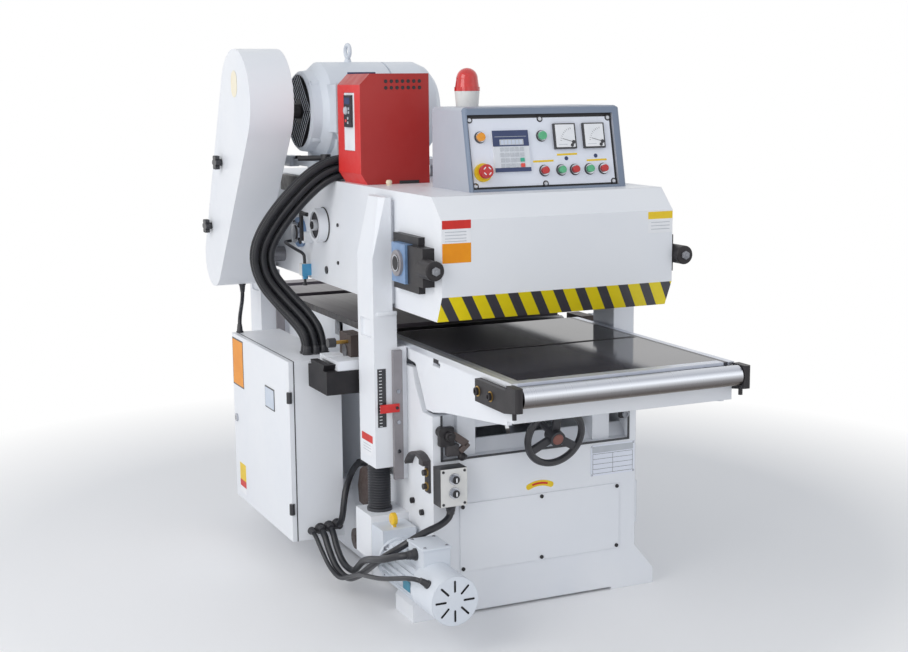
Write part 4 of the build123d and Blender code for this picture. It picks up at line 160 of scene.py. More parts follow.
edgeCatch, given, result = startGroup(
    "edgeCatch", [("Radius", valueKind, edgeWear["radius"]), ("Break", valueKind, edgeWear["break"])],
    [("Normal", vectorKind), ("Wear", valueKind)])
rounded = addNode(edgeCatch, "ShaderNodeBevel", {0: given["Radius"]}, samples=edgeWear["samples"]).outputs[0]
facing = addNode(edgeCatch, "ShaderNodeNewGeometry").outputs["Normal"]
turned = addNode(edgeCatch, "ShaderNodeVectorMath", {0: rounded, 1: facing}, operation="DOT_PRODUCT")
broken = cloud(edgeCatch, objectPlace(edgeCatch), given["Break"], edgeWear["detail"])
rim = rangeNode(edgeCatch, turned.outputs["Value"], *edgeWear["rim"])
flecks = rangeNode(edgeCatch, broken, *edgeWear["flecks"])
feed(edgeCatch, result["Normal"], rounded)
feed(edgeCatch, result["Wear"], mathNode(edgeCatch, "MULTIPLY", rim, flecks))

# each coat mixes two colours by one cloud (scale, detail, low, high) and sets its sheen by another
coats = {
    # sprayed enamel: slow shade changes, handled patches, orange peel
    "sprayCoat": {"colours": {"Paint": 0.8, "Shade": 0.7},
                  "values": {"Patch": 3.0, "Peel": 420.0, "Gloss": 0.3, "Dull": 0.45},
                  "tint": ("Patch", 4.0, 0.3, 0.75), "sheen": (26.0, 6.0, 0.35, 0.65), "height": ("Peel", 2.0)},
    # machined metal: long tool lines along one way, with stains
    "toolLines": {"colours": {"Metal": 0.6, "Stain": 0.3},
                  "values": {"Lines": (40, 900, 900), "Gloss": 0.2, "Dull": 0.4},
                  "tint": (7.0, 5.0, 0.42, 0.7), "sheen": (1.0, 3.0, 0.3, 0.7)},
    # plastic, rubber and oxide: fine grain and a little bloom
    "fineGrain": {"colours": {"Body": 0.05, "Bloom": 0.1},
                  "values": {"Grain": 900.0, "Gloss": 0.35, "Dull": 0.55},
                  "tint": (22.0, 5.0, 0.4, 0.75), "sheen": ("Grain", 2.0, 0.3, 0.7)},
}


def coatCloud(coat, place, scale, detail):  # a scale that is a name is one of the coat's own values
    return cloud(coat["group"], place, coat["given"].get(scale, scale), detail)


for name, coat in coats.items():
    inputs = [(label, colourKind, (level, level, level, 1)) for label, level in coat["colours"].items()]
    inputs += [(label, vectorKind if label == "Lines" else valueKind, value)
               for label, value in coat["values"].items()]
    group, given, result = startGroup(name, inputs, finishOut)
    coat["group"], coat["given"] = group, {label: given[label] for label in coat["values"]}
    place = ruled = objectPlace(group)
    if "Lines" in coat["values"]:
        ruled = addNode(group, "ShaderNodeVectorMath", {0: place, 1: given["Lines"]}, operation="MULTIPLY").outputs[0]
    tint = rangeNode(group, coatCloud(coat, place, *coat["tint"][:2]), *coat["tint"][2:])
    sheen = coatCloud(coat, ruled, *coat["sheen"][:2])
    feed(group, result["Color"], mixColour(group, tint, given[0], given[1]))
    feed(group, result["Roughness"], rangeNode(group, sheen, *coat["sheen"][2:], given["Gloss"], given["Dull"]))
    feed(group, result["Height"], coatCloud(coat, place, *coat["height"]) if "height" in coat else sheen)
print("shader groups made")


# finishes: two colours, then what differs from the plain coat

reliefDepth = 0.0003


def makeFinish(name, coat, first, second, sheen=None, edge=0.0015, bump=0.12, bare=None, **values):
    material = bpy.data.materials.new(name)
    material.use_nodes = True
    tree = material.node_tree
    surface = tree.nodes["Principled BSDF"]
    skin = addNode(tree, "ShaderNodeGroup", {0: tone(*first), 1: tone(*second)}, node_tree=coats[coat]["group"])
    if sheen:
        values["Gloss"], values["Dull"] = sheen
    for label, value in values.items():
        label = label.replace("_", " ")
        (skin if label in skin.inputs else surface).inputs[label].default_value = value
    corner = addNode(tree, "ShaderNodeGroup", {"Radius": edge}, node_tree=edgeCatch)
    colour = skin.outputs["Color"]
    if bare:
        colour = mixColour(tree, corner.outputs["Wear"], colour, tone(*bare))
    relief = addNode(tree, "ShaderNodeBump", {"Strength": bump, "Distance": reliefDepth,
                                              "Height": skin.outputs["Height"], "Normal": corner.outputs["Normal"]})
    feed(tree, surface.inputs["Base Color"], colour)
    feed(tree, surface.inputs["Roughness"], skin.outputs["Roughness"])
    feed(tree, surface.inputs["Normal"], relief.outputs["Normal"])
    finishes[name] = material


enamels = {
    "whiteEnamel": ((236, 238, 242), (230, 233, 239), dict(Patch=2.5, bump=0.06, bare=(212, 214, 219))),
    "castEnamel": ((236, 238, 242), (230, 233, 239),
                   dict(Patch=5.0, Peel=160.0, sheen=(0.38, 0.55), edge=0.003, bare=(212, 214, 219))),
    "motorEnamel": ((222, 227, 234), (212, 218, 227), dict(Patch=6.0, Peel=220.0, sheen=(0.34, 0.5), edge=0.003)),
    "panelGrey": ((184, 189, 199), (178, 183, 194), dict(Peel=600.0, bump=0.05)),
    "rimBlue": ((126, 139, 159), (117, 130, 151), dict(Peel=600.0, bump=0.05)),
    "panelWhite": ((232, 236, 246), (227, 231, 242), dict(Peel=900.0, edge=0.0006, bump=0.03)),
    # the red box's paint, and a lighter copy of it as painted light for the side facing the key lamp
    "redCoat": ((177, 45, 41), (168, 40, 37), dict(Peel=700.0, sheen=(0.32, 0.45), edge=0.002, bump=0.05)),
    "redCoatPaintedLit": ((228, 58, 55), (220, 50, 48), dict(Peel=700.0, sheen=(0.32, 0.45), edge=0.002, bump=0.05)),
    "bearingBlue": ((126, 156, 194), (102, 132, 172),
                    dict(Patch=30.0, Peel=260.0, bump=0.15, bare=(150, 160, 172))),
    "plugYellow": ((242, 200, 44), (230, 180, 30), dict(Patch=40.0)),
    "pointerRed": ((215, 44, 42), (196, 34, 34), dict(Patch=30.0)),
    "lensAmber": ((240, 160, 30), (228, 142, 20), dict(Patch=60.0, sheen=(0.12, 0.2), edge=0.0008, bump=0.02)),
    "lensGreen": ((92, 184, 134), (78, 170, 120), dict(Patch=60.0, sheen=(0.15, 0.25), edge=0.0008, bump=0.02)),
    "lensRed": ((198, 42, 42), (180, 32, 34), dict(Patch=60.0, sheen=(0.12, 0.22), edge=0.0008, bump=0.02)),
    "domeRed": ((214, 40, 38), (190, 24, 28),
                dict(Patch=40.0, sheen=(0.08, 0.16), edge=0.0008, bump=0.02, Coat_Weight=0.6)),
}
metals = {
    "tableSteel": ((74, 73, 78), (64, 63, 68),
                   dict(Lines=(500, 6, 500), sheen=(0.06, 0.11), edge=0.001, bump=0.006, Specular_IOR_Level=0.4)),
    "bedSteel": ((108, 102, 110), (98, 90, 97),
                 dict(Lines=(120, 5, 120), sheen=(0.3, 0.36), edge=0.001, bump=0.006, Metallic=0.2)),
    "brightSteel": ((178, 181, 188), (152, 154, 160),
                    dict(Lines=(300, 300, 12), sheen=(0.2, 0.34), edge=0.0008, bump=0.03, Metallic=1.0)),
    "gibSteel": ((152, 149, 153), (134, 129, 132),
                 dict(Lines=(40, 40, 6), sheen=(0.38, 0.5), edge=0.0008, bump=0.02, Metallic=0.25)),
    "chrome": ((186, 189, 196), (158, 161, 168),
               dict(Lines=(60, 60, 60), sheen=(0.1, 0.18), edge=0.0005, bump=0.01, Metallic=1.0)),
    "rollerSteel": ((196, 198, 203), (182, 181, 182),
                    dict(Lines=(400, 4, 4), sheen=(0.27, 0.3), edge=0.0008, bump=0.002, Metallic=1.0)),
    "stripAluminium": ((212, 216, 226), (196, 201, 212),
                       dict(Lines=(300, 10, 300), sheen=(0.3, 0.42), edge=0.0008, bump=0.03, Metallic=0.9)),
    "greyCast": ((150, 152, 158), (122, 124, 130),
                 dict(Lines=(40, 40, 40), sheen=(0.5, 0.7), edge=0.002, bump=0.2, Metallic=0.2)),
    "darkIron": ((54, 52, 55), (64, 58, 57),
                 dict(Lines=(60, 60, 60), sheen=(0.38, 0.55), bump=0.1, bare=(112, 104, 100))),
    "brownIron": ((84, 72, 68), (66, 56, 54), dict(Lines=(90, 90, 90), sheen=(0.4, 0.6))),
    "brassWasher": ((200, 166, 96), (168, 130, 70),
                    dict(Lines=(200, 200, 200), sheen=(0.25, 0.4), edge=0.0005, bump=0.05, Metallic=1.0)),
    "cutterSteel": ((150, 150, 154), (120, 118, 120),
                    dict(Lines=(8, 500, 500), sheen=(0.25, 0.4), edge=0.0008, bump=0.03, Metallic=1.0)),
}
plastics = {
    "blackOxide": ((40, 38, 41), (50, 48, 50),
                   dict(sheen=(0.35, 0.5), edge=0.001, bump=0.05, bare=(86, 82, 82), Specular_IOR_Level=0.32)),
    "railBlack": ((36, 35, 38), (46, 44, 46),
                  dict(sheen=(0.45, 0.6), bump=0.05, bare=(84, 78, 76), Specular_IOR_Level=0.25)),
    "blackPlastic": ((48, 48, 52), (57, 57, 61), dict(sheen=(0.3, 0.42), bump=0.04)),
    "rubber": ((56, 57, 62), (68, 69, 74), dict(Grain=1400.0, sheen=(0.36, 0.5), edge=0.0006, bump=0.04)),
    "cableBlack": ((37, 38, 43), (45, 46, 51), dict(Grain=1400.0, sheen=(0.28, 0.38), edge=0.0006, bump=0.03)),
    # near-white grille finish: a painted highlight on the motor grille bar faces that turn to the key lamp
    "grillePaintedHighlight": ((240, 243, 249), (230, 233, 240), dict(sheen=(0.35, 0.5), edge=0.0006, bump=0.04)),
    "greyPlastic": ((226, 225, 222), (219, 218, 216), dict(sheen=(0.35, 0.5), bump=0.04)),
    "switchBlue": ((84, 166, 212), (74, 154, 202), dict(sheen=(0.35, 0.5), edge=0.001, bump=0.04)),
    "hubBrown": ((124, 74, 66), (136, 86, 76), dict(sheen=(0.35, 0.5), bump=0.04)),
    # a flat dark finish for printed marks and small dark parts, also laid as painted shade into holes, slots, bores,
    # seams and recesses
    "darkMatteAndPaintedShade": ((42, 41, 45), (50, 49, 53), dict(sheen=(0.5, 0.7), bump=0.04)),
}
for coat, table in (("sprayCoat", enamels), ("toolLines", metals), ("fineGrain", plastics)):
    for name, (first, second, look) in table.items():
        makeFinish(name, coat, first, second, **look)

# printed and moulded small parts: one body colour, a little bloom in it
smallParts = {
    "labelWhite": ((240, 241, 244), (232, 234, 238)), "labelRed": ((214, 52, 44), (202, 44, 38)),
    "labelOrange": ((240, 152, 18), (232, 140, 12)), "labelYellow": ((240, 206, 50), (230, 192, 36)),
    "labelBlue": ((66, 76, 112), (58, 68, 102)), "labelGrey": ((196, 200, 206), (186, 190, 197)),
    "displayPale": ((206, 214, 230), (196, 205, 222)), "keyGrey": ((224, 227, 232), (216, 219, 225)),
    "keyGreen": ((70, 176, 146), (60, 164, 134)), "keyRed": ((232, 88, 80), (222, 76, 70)),
    "plateTeal": ((64, 140, 166), (54, 128, 154)), "ivory": ((240, 226, 200), (232, 216, 188)),
    "windowPane": ((206, 214, 226), (192, 203, 219)), "labelCream": ((246, 238, 216), (240, 230, 204)),
}
smallLook = dict(sheen=(0.34, 0.48), edge=0.0004, bump=0.03, Specular_IOR_Level=0.3)
for name, (body, bloom) in smallParts.items():
    makeFinish(name, "fineGrain", body, bloom, **smallLook)
print("finishes made:", len(finishes))


# patterns over a finish's base colour

def overlay(name, source):
    material = finishes[name] = finishes[source].copy()
    material.name = name
    tree = material.node_tree
    axes = addNode(tree, "ShaderNodeSeparateXYZ", {0: objectPlace(tree)}).outputs
    return tree, tree.nodes["Principled BSDF"].inputs["Base Color"], axes


def between(tree, source, low, high):  # 1 inside, 0 outside
    above = mathNode(tree, "GREATER_THAN", source, low)
    return mathNode(tree, "MULTIPLY", above, mathNode(tree, "LESS_THAN", source, high))


# hazard stripes on the lower band of the front cover
stripes = {"high": 0.991, "pitch": 0.0725, "yellow": 0.04, "lean": 0.672, "start": 0.3295, "blur": 0.0003,
           "bandBlur": 0.0004, "wear": (60.0, 5.0), "yellows": ((254, 232, 30), (246, 222, 24)),
           "blacks": ((66, 64, 70), (76, 74, 80))}

tree, paint, axes = overlay("stripedEnamel", "whiteEnamel")
under = paint.links[0].from_socket
along = mathNode(tree, "ADD", axes["X"], mathNode(tree, "MULTIPLY", axes["Z"], stripes["lean"]))
wave = mathNode(tree, "PINGPONG", mathNode(tree, "SUBTRACT", along, stripes["start"]), stripes["pitch"] / 2)
half = stripes["yellow"] / 2
blackMask = rangeNode(tree, wave, half - stripes["blur"], half + stripes["blur"])
worn = cloud(tree, objectPlace(tree), *stripes["wear"])
yellowShade = mixColour(tree, worn, *(tone(*shade) for shade in stripes["yellows"]))
blackShade = mixColour(tree, worn, *(tone(*shade) for shade in stripes["blacks"]))
bandMask = rangeNode(tree, axes["Z"], stripes["high"] + stripes["bandBlur"], stripes["high"] - stripes["bandBlur"])
feed(tree, paint, mixColour(tree, bandMask, under, mixColour(tree, blackMask, yellowShade, blackShade)))

# depth scale on the left column: pale ticks on a black strip
ruler = {"step": 0.01, "tick": 0.0022, "left": -0.437, "right": -0.428, "blur": 0.0002, "pale": (226, 228, 232)}

tree, paint, axes = overlay("scaleBlack", "blackPlastic")
under = paint.links[0].from_socket
beat = mathNode(tree, "PINGPONG", axes["Z"], ruler["step"] / 2)
half = ruler["tick"] / 2
tickMask = rangeNode(tree, beat, half + ruler["blur"], half - ruler["blur"])
inside = between(tree, axes["X"], ruler["left"], ruler["right"])
feed(tree, paint, mixColour(tree, mathNode(tree, "MULTIPLY", tickMask, inside), under, tone(*ruler["pale"])))

# edge strips: painted outside on the left; on the right, a groove inside drawn only as a dark band of painted shade
groove = {"inner": 0.311, "left": -0.328, "right": 0.325, "dark": (84, 84, 90), "painted": (232, 235, 240)}

tree, paint, axes = overlay("stripEdged", "stripAluminium")
under = paint.links[0].from_socket
painted = mathNode(tree, "LESS_THAN", axes["X"], groove["left"])
sunk = between(tree, axes["X"], groove["inner"], groove["right"])
grooved = mixColour(tree, sunk, under, tone(*groove["dark"]))
feed(tree, paint, mixColour(tree, painted, grooved, tone(*groove["painted"])))

# ground roller: a painted highlight band along its upper side and a brown-grey painted reflection low down, ramped by
# height
rollerReflections = {"axis": 0.779, "radius": 0.0285, "stops": (
    (0.0, (128, 116, 104)), (0.2, (106, 99, 95)), (0.42, (134, 133, 136)), (0.66, (226, 230, 237)),
    (0.84, (180, 184, 194)), (1.0, (204, 208, 215)))}

tree, paint, axes = overlay("rollerPaintedReflections", "rollerSteel")
upwards = rangeNode(tree, axes["Z"], rollerReflections["axis"] - rollerReflections["radius"], rollerReflections["axis"] + rollerReflections["radius"])
ramp = addNode(tree, "ShaderNodeValToRGB", {0: upwards})
stops = ramp.color_ramp.elements
while len(stops) < len(rollerReflections["stops"]):
    stops.new(0.5)
for stop, (place, colour) in zip(stops, rollerReflections["stops"]):
    stop.position = place
    stop.color = tone(*colour)
feed(tree, paint, ramp.outputs[0])
print("patterns laid")


# seats for details: x across, y up, z straight out of the surface

def stand(origin, across, up):
    across, up = Vector(across).normalized(), Vector(up).normalized()
    seat = Matrix((across, up, across.cross(up))).transposed().to_4x4()
    seat.translation = Vector(origin)
    return seat


def seatWay(across, up):
    return lambda x, y, z: stand((x, y, z), across, up)


front = seatWay((1, 0, 0), (0, 0, 1))
left = seatWay((0, -1, 0), (0, 0, 1))
right = seatWay((0, 1, 0), (0, 0, 1))
top = seatWay((1, 0, 0), (0, 1, 0))
below = seatWay((1, 0, 0), (0, -1, 0))


def bothSides(x, y, z):
    return [left(-x, y, z), right(x, y, z)]


panel = {"corner": (0.041, -0.746, 1.268), "up": (0, 0.052, 0.239), "sunk": 0.007}
wheelShaft = {"end": (0, -0.859, 0.548), "lean": 15}

panelOut = Vector((1, 0, 0)).cross(Vector(panel["up"])).normalized()
panelSeat = stand(Vector(panel["corner"]) - panel["sunk"] * panelOut, (1, 0, 0), panel["up"])
lean = math.radians(wheelShaft["lean"])
wheelSeat = stand(wheelShaft["end"], (1, 0, 0), (0, -math.sin(lean), math.cos(lean)))


# finishes on the carried-over nodes, by box and by the way a face looks

facingLimit = 0.5


def zone(finish, low, high, seat=None, facing=None, reach=9.0):
    return {"finish": finish, "low": low, "high": high, "seat": seat, "facing": facing, "reach": reach}


def panelZone(finish, low, high):
    return zone(finish, low, high, seat=panelSeat)


def twinZones(finish, low, high):  # the box on the left and its mirror on the right
    return zone(finish, low, high), zone(finish, (-high[0], *low[1:]), (-low[0], *high[1:]))


def dress(nodeName, finish, *zones):
    shell = nodes[nodeName].data
    shell.materials.clear()
    shell.materials.append(finishes[finish])
    for face in shell.polygons:
        face.material_index = 0
    for area in zones:
        shell.materials.append(finishes[area["finish"]])
        number = len(shell.materials) - 1
        toSeat = area["seat"].inverted() if area["seat"] else Matrix.Identity(4)
        outward = Vector(area["facing"]) if area["facing"] else None
        for face in shell.polygons:
            centre = toSeat @ face.center
            if outward and face.normal.dot(outward) < facingLimit or math.hypot(centre.x, centre.y) > area["reach"]:
                continue
            if all(a <= c <= b for a, c, b in zip(area["low"], centre, area["high"])):
                face.material_index = number


plainNodes = {
    "castEnamel": ("base_casting", "infeed_casting", "lift_gearboxes"),
    "whiteEnamel": ("cabinet_body", "head_top_cover"),
    "motorEnamel": ("lower_drive", "motor_plate"),
    "darkIron": ("feed_track", "lower_motor_pulley", "motor_pulley"),
    "blackOxide": ("lock_lever", "roller_brackets"),
    "blackPlastic": ("clamp_lever", "handwheel", "switch_plunger"),
    "cutterSteel": ("lower_cutterhead", "upper_cutterhead"),
    "lensRed": ("button_1", "button_3", "button_5", "stop_button"),
    "lensGreen": ("button_2", "button_4"),
    "railBlack": ("carriage_rail",),
    "rubber": ("drive_belt",),
    "rollerPaintedReflections": ("front_roller",),
    "rollerSteel": ("outfeed_roller",),
    "tableSteel": ("infeed_table",),
    "stripEdged": ("table_strips",),
}
for finish, names in plainNodes.items():
    for name in names:
        dress(name, finish)

# standing part
dress("base_fittings", "whiteEnamel",
      zone("blackOxide", (-0.3, -0.7575, 0.1), (0.3, -0.7543, 0.36)),
      zone("darkIron", (-0.38, -0.74, 0.38), (-0.34, -0.59, 0.51)),
      zone("brassWasher", (-0.3562, -0.735, 0.38), (-0.3532, -0.7, 0.47)),
      zone("brassWasher", (-0.3492, -0.7, 0.29), (-0.345, -0.58, 0.35)),
      zone("blackOxide", (-0.37, -0.7, 0.29), (-0.3492, -0.58, 0.35)),
      zone("brownIron", (-0.4, -0.25, 0.07), (-0.34, -0.18, 0.14)),
      zone("brownIron", (-0.395, -0.34, 0.23), (-0.34, -0.23, 0.37)),
      zone("panelWhite", (0.18, -0.753, 0.37), (0.342, -0.749, 0.475)))
dress("bed_plates", "bedSteel", zone("darkIron", (-1, -1, 0), (1, 1, 1), facing=(-1, 0, 0)))
dress("cabinet_door", "whiteEnamel",
      zone("windowPane", (-0.62, -0.0775, 0.53), (-0.6151, 0.0155, 0.596)),
      zone("chrome", (-0.625, 0.345, 0.4), (-0.6151, 0.38, 0.435)))
dress("column_gibs", "gibSteel", *twinZones("chrome", (-0.4, -0.5775, 0.46), (-0.36, -0.5735, 0.69)),
      zone("pointerRed", (-0.445, -0.5775, 0.6025), (-0.3765, -0.5729, 0.6295)))
dress("lift_motor", "motorEnamel",
      zone("plugYellow", (-0.4255, -0.64, 0.2635), (-0.4145, -0.6, 0.306)),
      # the end of the fan cover is painted dark as painted shade behind its slots
      zone("darkMatteAndPaintedShade", (-0.5, -1.0605, 0.09), (-0.34, -1.02, 0.25)))
dress("switch_box", "greyPlastic",
      zone("blackPlastic", (-0.36, -0.7899, 0.35), (-0.25, -0.74, 0.48)),
      zone("chrome", (-0.325, -0.81, 0.38), (-0.28, -0.8041, 0.46)))
for name in ("selector_high", "selector_low"):
    dress(name, "chrome", zone("blackPlastic", (-0.33, -0.8235, 0.37), (-0.28, -0.8178, 0.47)))

# lower cutter unit
dress("carriage_knob", "blackPlastic", zone("brassWasher", (-0.49, -0.34, 0.775), (-0.4, -0.32, 0.795)))
dress("lower_carriage", "castEnamel",
      zone("brownIron", (-0.46, -0.37, 0.7405), (-0.4, -0.25, 0.82)),
      zone("brownIron", (0.32, -0.37, 0.7405), (0.43, -0.25, 0.82)))

# head: covers, sides, columns, drums and their bearings
headSides = twinZones("blackOxide", (-0.4, -0.2, 0.94), (-0.3763, 0.1, 1.14))
for name, area in zip(("head_side_left", "head_side_right"), headSides):
    dress(name, "whiteEnamel", area)
dress("head_front_cover", "whiteEnamel",
      zone("stripedEnamel", (-0.4, -1, 0.9), (0.4, -0.8, 1.3), facing=(0, -1, 0)))
dress("belt_guard", "whiteEnamel", zone("blackPlastic", (-0.7, 0, 1.0), (-0.6405, 0.7, 1.4)))
dress("lift_columns", "castEnamel", zone("scaleBlack", (-0.443, -0.562, 0.556), (-0.414, -0.5592, 0.737)))
dress("front_drum", "darkIron", *twinZones("chrome", (-0.44, -0.8, 1.0), (-0.4, -0.6, 1.2)))
dress("rear_drum", "darkIron", *twinZones("chrome", (-0.44, 0.2, 1.0), (-0.378, 0.4, 1.2)))
dress("side_bearings", "bearingBlue", *twinZones("chrome", (-0.41, 0.25, 1.01), (-0.3904, 0.37, 1.13)),
      zone("whiteEnamel", (-0.43, 0.0, 1.03), (-0.37, 0.225, 1.18)),
      zone("blackOxide", (-0.43, 0.134, 1.04), (-0.4102, 0.225, 1.18)),
      zone("motorEnamel", (-0.4105, 0.02, 1.06), (-0.38, 0.13, 1.17), facing=(-1, 0, 0)))
dress("takeup_bearings", "bearingBlue", *twinZones("gibSteel", (-0.44, -0.73, 1.02), (-0.4203, -0.63, 1.12)))
dress("takeup_frames", "blackOxide", *twinZones("greyCast", (-0.45, -0.926, 1.05), (-0.36, -0.9195, 1.09)))
dress("limit_switch", "greyPlastic",
      zone("switchBlue", (-0.42, -1, 0.915), (-0.37, 1, 0.969), facing=(0, -1, 0)),
      zone("blackPlastic", (-0.42, 0.2, 0.9), (-0.37, 0.26, 0.9155)))

# head: motor, red box, beacon and control panel
motorEnd = {"seat": left(-0.413, 0.171, 1.491), "reach": 0.1195}
dress("upper_motor", "motorEnamel",
      # the grille pocket is painted dark as painted shade; bar faces turned to the key lamp get a near-white painted
      # highlight
      zone("darkMatteAndPaintedShade", (-0.2, -0.2, -0.001), (0.2, 0.2, 0.0096), **motorEnd),
      zone("grillePaintedHighlight", (-0.2, -0.2, 0.001), (0.2, 0.2, 0.0096), facing=(-0.62, 0, 0), **motorEnd),
      zone("blackOxide", (-0.4226, 0.125, 1.445), (-0.4217, 0.217, 1.537), facing=(-1, 0, 0)))
dress("inverter_box", "redCoat",
      # left-facing faces take the lighter red copy as painted light; tops are set back to the plain red
      zone("redCoatPaintedLit", (-0.4, -0.3, 1.2), (0, 0, 1.7), facing=(-1, 0, 0)),
      zone("redCoat", (-0.4, -0.3, 1.2), (0, 0, 1.7), facing=(0, 0, 0.75)),
      # the walls of the vent holes are painted dark as painted shade
      zone("darkMatteAndPaintedShade", (-0.3, -0.2838, 1.555), (-0.16, -0.279, 1.605)),
      zone("labelWhite", (-0.3757, -0.24, 1.37), (-0.3743, -0.13, 1.556)),
      zone("blackPlastic", (-0.384, -0.23, 1.44), (-0.3752, -0.14, 1.548)),
      zone("blackPlastic", (-0.301, -0.0838, 1.268), (-0.235, 0.0, 1.351)))
dress("beacon", "greyPlastic", zone("domeRed", (-0.2, -0.6, 1.5575), (0, -0.4, 1.7)))
dress("panel_housing", "panelGrey",
      panelZone("rimBlue", (-0.3, -0.01, -0.0075), (0.3, 0.26, 0.01)),
      # the gap round the plate is painted dark as painted shade; its right inner wall keeps the housing grey
      panelZone("darkMatteAndPaintedShade", (-0.2456, 0.0075, -0.05), (0.2405, 0.2265, 0.0068)),
      panelZone("panelGrey", (0.2395, 0.0, -0.0029), (0.2405, 0.23, 0.0068)))
dress("panel_meters", "blackPlastic",
      panelZone("keyGrey", (-0.172, 0.05, 0.0), (-0.052, 0.18, 0.02)),
      panelZone("labelGrey", (-0.16, 0.065, 0.0085), (-0.06, 0.13, 0.02)),
      panelZone("keyGreen", (-0.087, 0.084, 0.0071), (-0.0715, 0.098, 0.02)),
      panelZone("keyRed", (-0.087, 0.068, 0.0071), (-0.0715, 0.082, 0.02)))
dress("panel_plate", "panelWhite",
      panelZone("chrome", (-0.24, 0.035, 0.0002), (0.22, 0.18, 0.02)),
      panelZone("lensAmber", (-0.222, 0.147, 0.0071), (-0.194, 0.175, 0.02)),
      panelZone("lensGreen", (-0.02, 0.147, 0.0071), (0.008, 0.175, 0.02)),
      panelZone("labelYellow", (-0.238, 0.029, 0.0002), (-0.182, 0.086, 0.01)))
print("nodes dressed")


# cables: each on one spline through the route's own points

def routeCurve(name, points, radius):
    line = bpy.data.curves.new(name, "CURVE")
    line.dimensions = "3D"
    line.bevel_depth = radius
    line.bevel_resolution = 5
    line.resolution_u = 10
    line.use_fill_caps = True
    spline = line.splines.new("NURBS")
    spline.points.add(len(points) - 1)
    for bead, place in zip(spline.points, points):
        bead.co = (*place, 1.0)
    spline.order_u = 3
    spline.use_endpoint_u = True
    piece = bpy.data.objects.new(name, line)
    scene.collection.objects.link(piece)
    return piece


def readRoute(curve):  # the spline's own points, from the bare line
    bpy.context.view_layer.update()
    bare = bpy.data.meshes.new_from_object(curve.evaluated_get(bpy.context.evaluated_depsgraph_get()))
    points = [tuple(v.co) for v in bare.vertices]
    bpy.data.meshes.remove(bare)
    return points


cables = {
    "switchCord": {"body": "base", "node": "base_cables", "radius": 0.0105, "length": 0.870, "points": [
        (-0.524, -0.236, 0.164), (-0.524, -0.274, 0.164), (-0.524, -0.318, 0.116), (-0.517, -0.366, 0.068),
        (-0.503, -0.430, 0.048), (-0.496, -0.520, 0.088), (-0.501, -0.620, 0.145), (-0.508, -0.725, 0.203),
        (-0.466, -0.792, 0.256), (-0.402, -0.803, 0.291), (-0.345, -0.796, 0.304), (-0.311, -0.783, 0.318),
        (-0.303, -0.777, 0.337), (-0.303, -0.777, 0.358)]},
    "terminalCord": {"body": "base", "node": "base_cables", "radius": 0.0105, "length": 0.751, "points": [
        (-0.494, -0.236, 0.168), (-0.494, -0.274, 0.168), (-0.498, -0.318, 0.122), (-0.493, -0.366, 0.078),
        (-0.484, -0.430, 0.070), (-0.497, -0.510, 0.113), (-0.514, -0.600, 0.163), (-0.531, -0.700, 0.200),
        (-0.525, -0.790, 0.224), (-0.508, -0.845, 0.247), (-0.491, -0.875, 0.256), (-0.457, -0.875, 0.256)]},
    "fanCord": {"body": "base", "node": "base_cables", "radius": 0.007, "length": 0.866, "points": [
        (-0.553, -0.236, 0.160), (-0.553, -0.270, 0.160), (-0.548, -0.310, 0.122), (-0.538, -0.356, 0.074),
        (-0.527, -0.420, 0.050), (-0.521, -0.500, 0.082), (-0.526, -0.600, 0.122), (-0.533, -0.700, 0.146),
        (-0.533, -0.800, 0.170), (-0.523, -0.890, 0.198), (-0.517, -0.960, 0.220), (-0.5027, -1.010, 0.2279),
        (-0.4782, -1.010, 0.2107)]},
    "wallCord": {"body": "base", "node": "base_cables", "radius": 0.0105, "length": 0.306, "points": [
        (-0.466, -0.236, 0.172), (-0.466, -0.262, 0.172), (-0.463, -0.284, 0.204), (-0.459, -0.288, 0.246),
        (-0.450, -0.280, 0.288), (-0.428, -0.256, 0.322), (-0.398, -0.222, 0.346), (-0.372, -0.200, 0.356),
        (-0.346, -0.200, 0.356)]},
    "limitLead": {"body": "head", "node": "switch_cable", "radius": 0.0055, "length": 0.247, "points": [
        (-0.376, 0.429, 1.027), (-0.398, 0.429, 1.027), (-0.412, 0.388, 1.026), (-0.414, 0.330, 1.022),
        (-0.408, 0.276, 1.012), (-0.395, 0.236, 1.002), (-0.395, 0.230, 0.982), (-0.395, 0.230, 0.968)]},
}

for name, cable in cables.items():
    cord = routeCurve(name, cable["points"], cable["radius"])
    cord.data.materials.append(finishes["cableBlack"])
    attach(cord, cable["body"])
    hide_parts(cable["node"])
print("cables laid")


# ribbed conduits from the red box to the cabinet: one rib, repeated along each route

conduits = {"radius": 0.012, "root": 0.0105, "pitch": 0.0042, "sides": 14, "spacing": 0.0275, "entry": -0.300,
            "cabinetTop": 0.718, "smooth": 50, "points": [
                (-0.300, -0.043, 1.312), (-0.348, -0.043, 1.316), (-0.408, -0.034, 1.300), (-0.470, -0.012, 1.250),
                (-0.540, 0.016, 1.168), (-0.590, 0.044, 1.084), (-0.607, 0.052, 1.018), (-0.590, 0.042, 0.946),
                (-0.545, -0.004, 0.880), (-0.502, -0.070, 0.818), (-0.4875, -0.121, 0.770),
                (-0.4875, -0.121, 0.718)]}


def bundleRoute(row, lane):
    middle = [Vector(p) for p in conduits["points"]]
    route = []
    for number, point in enumerate(middle):
        ahead = middle[min(number + 1, len(middle) - 1)]
        behind = middle[max(number - 1, 0)]
        along = (ahead - behind).normalized()
        across = Vector((along.z, 0, -along.x)).normalized()
        beside = across.cross(along)
        route.append(point + across * (lane * conduits["spacing"]) + beside * (row * conduits["spacing"] / 2))
    route[0] = Vector((conduits["entry"], route[1].y, route[1].z))
    route[-1] = Vector((route[-1].x, route[-2].y, conduits["cabinetTop"]))
    return [tuple(p) for p in route]


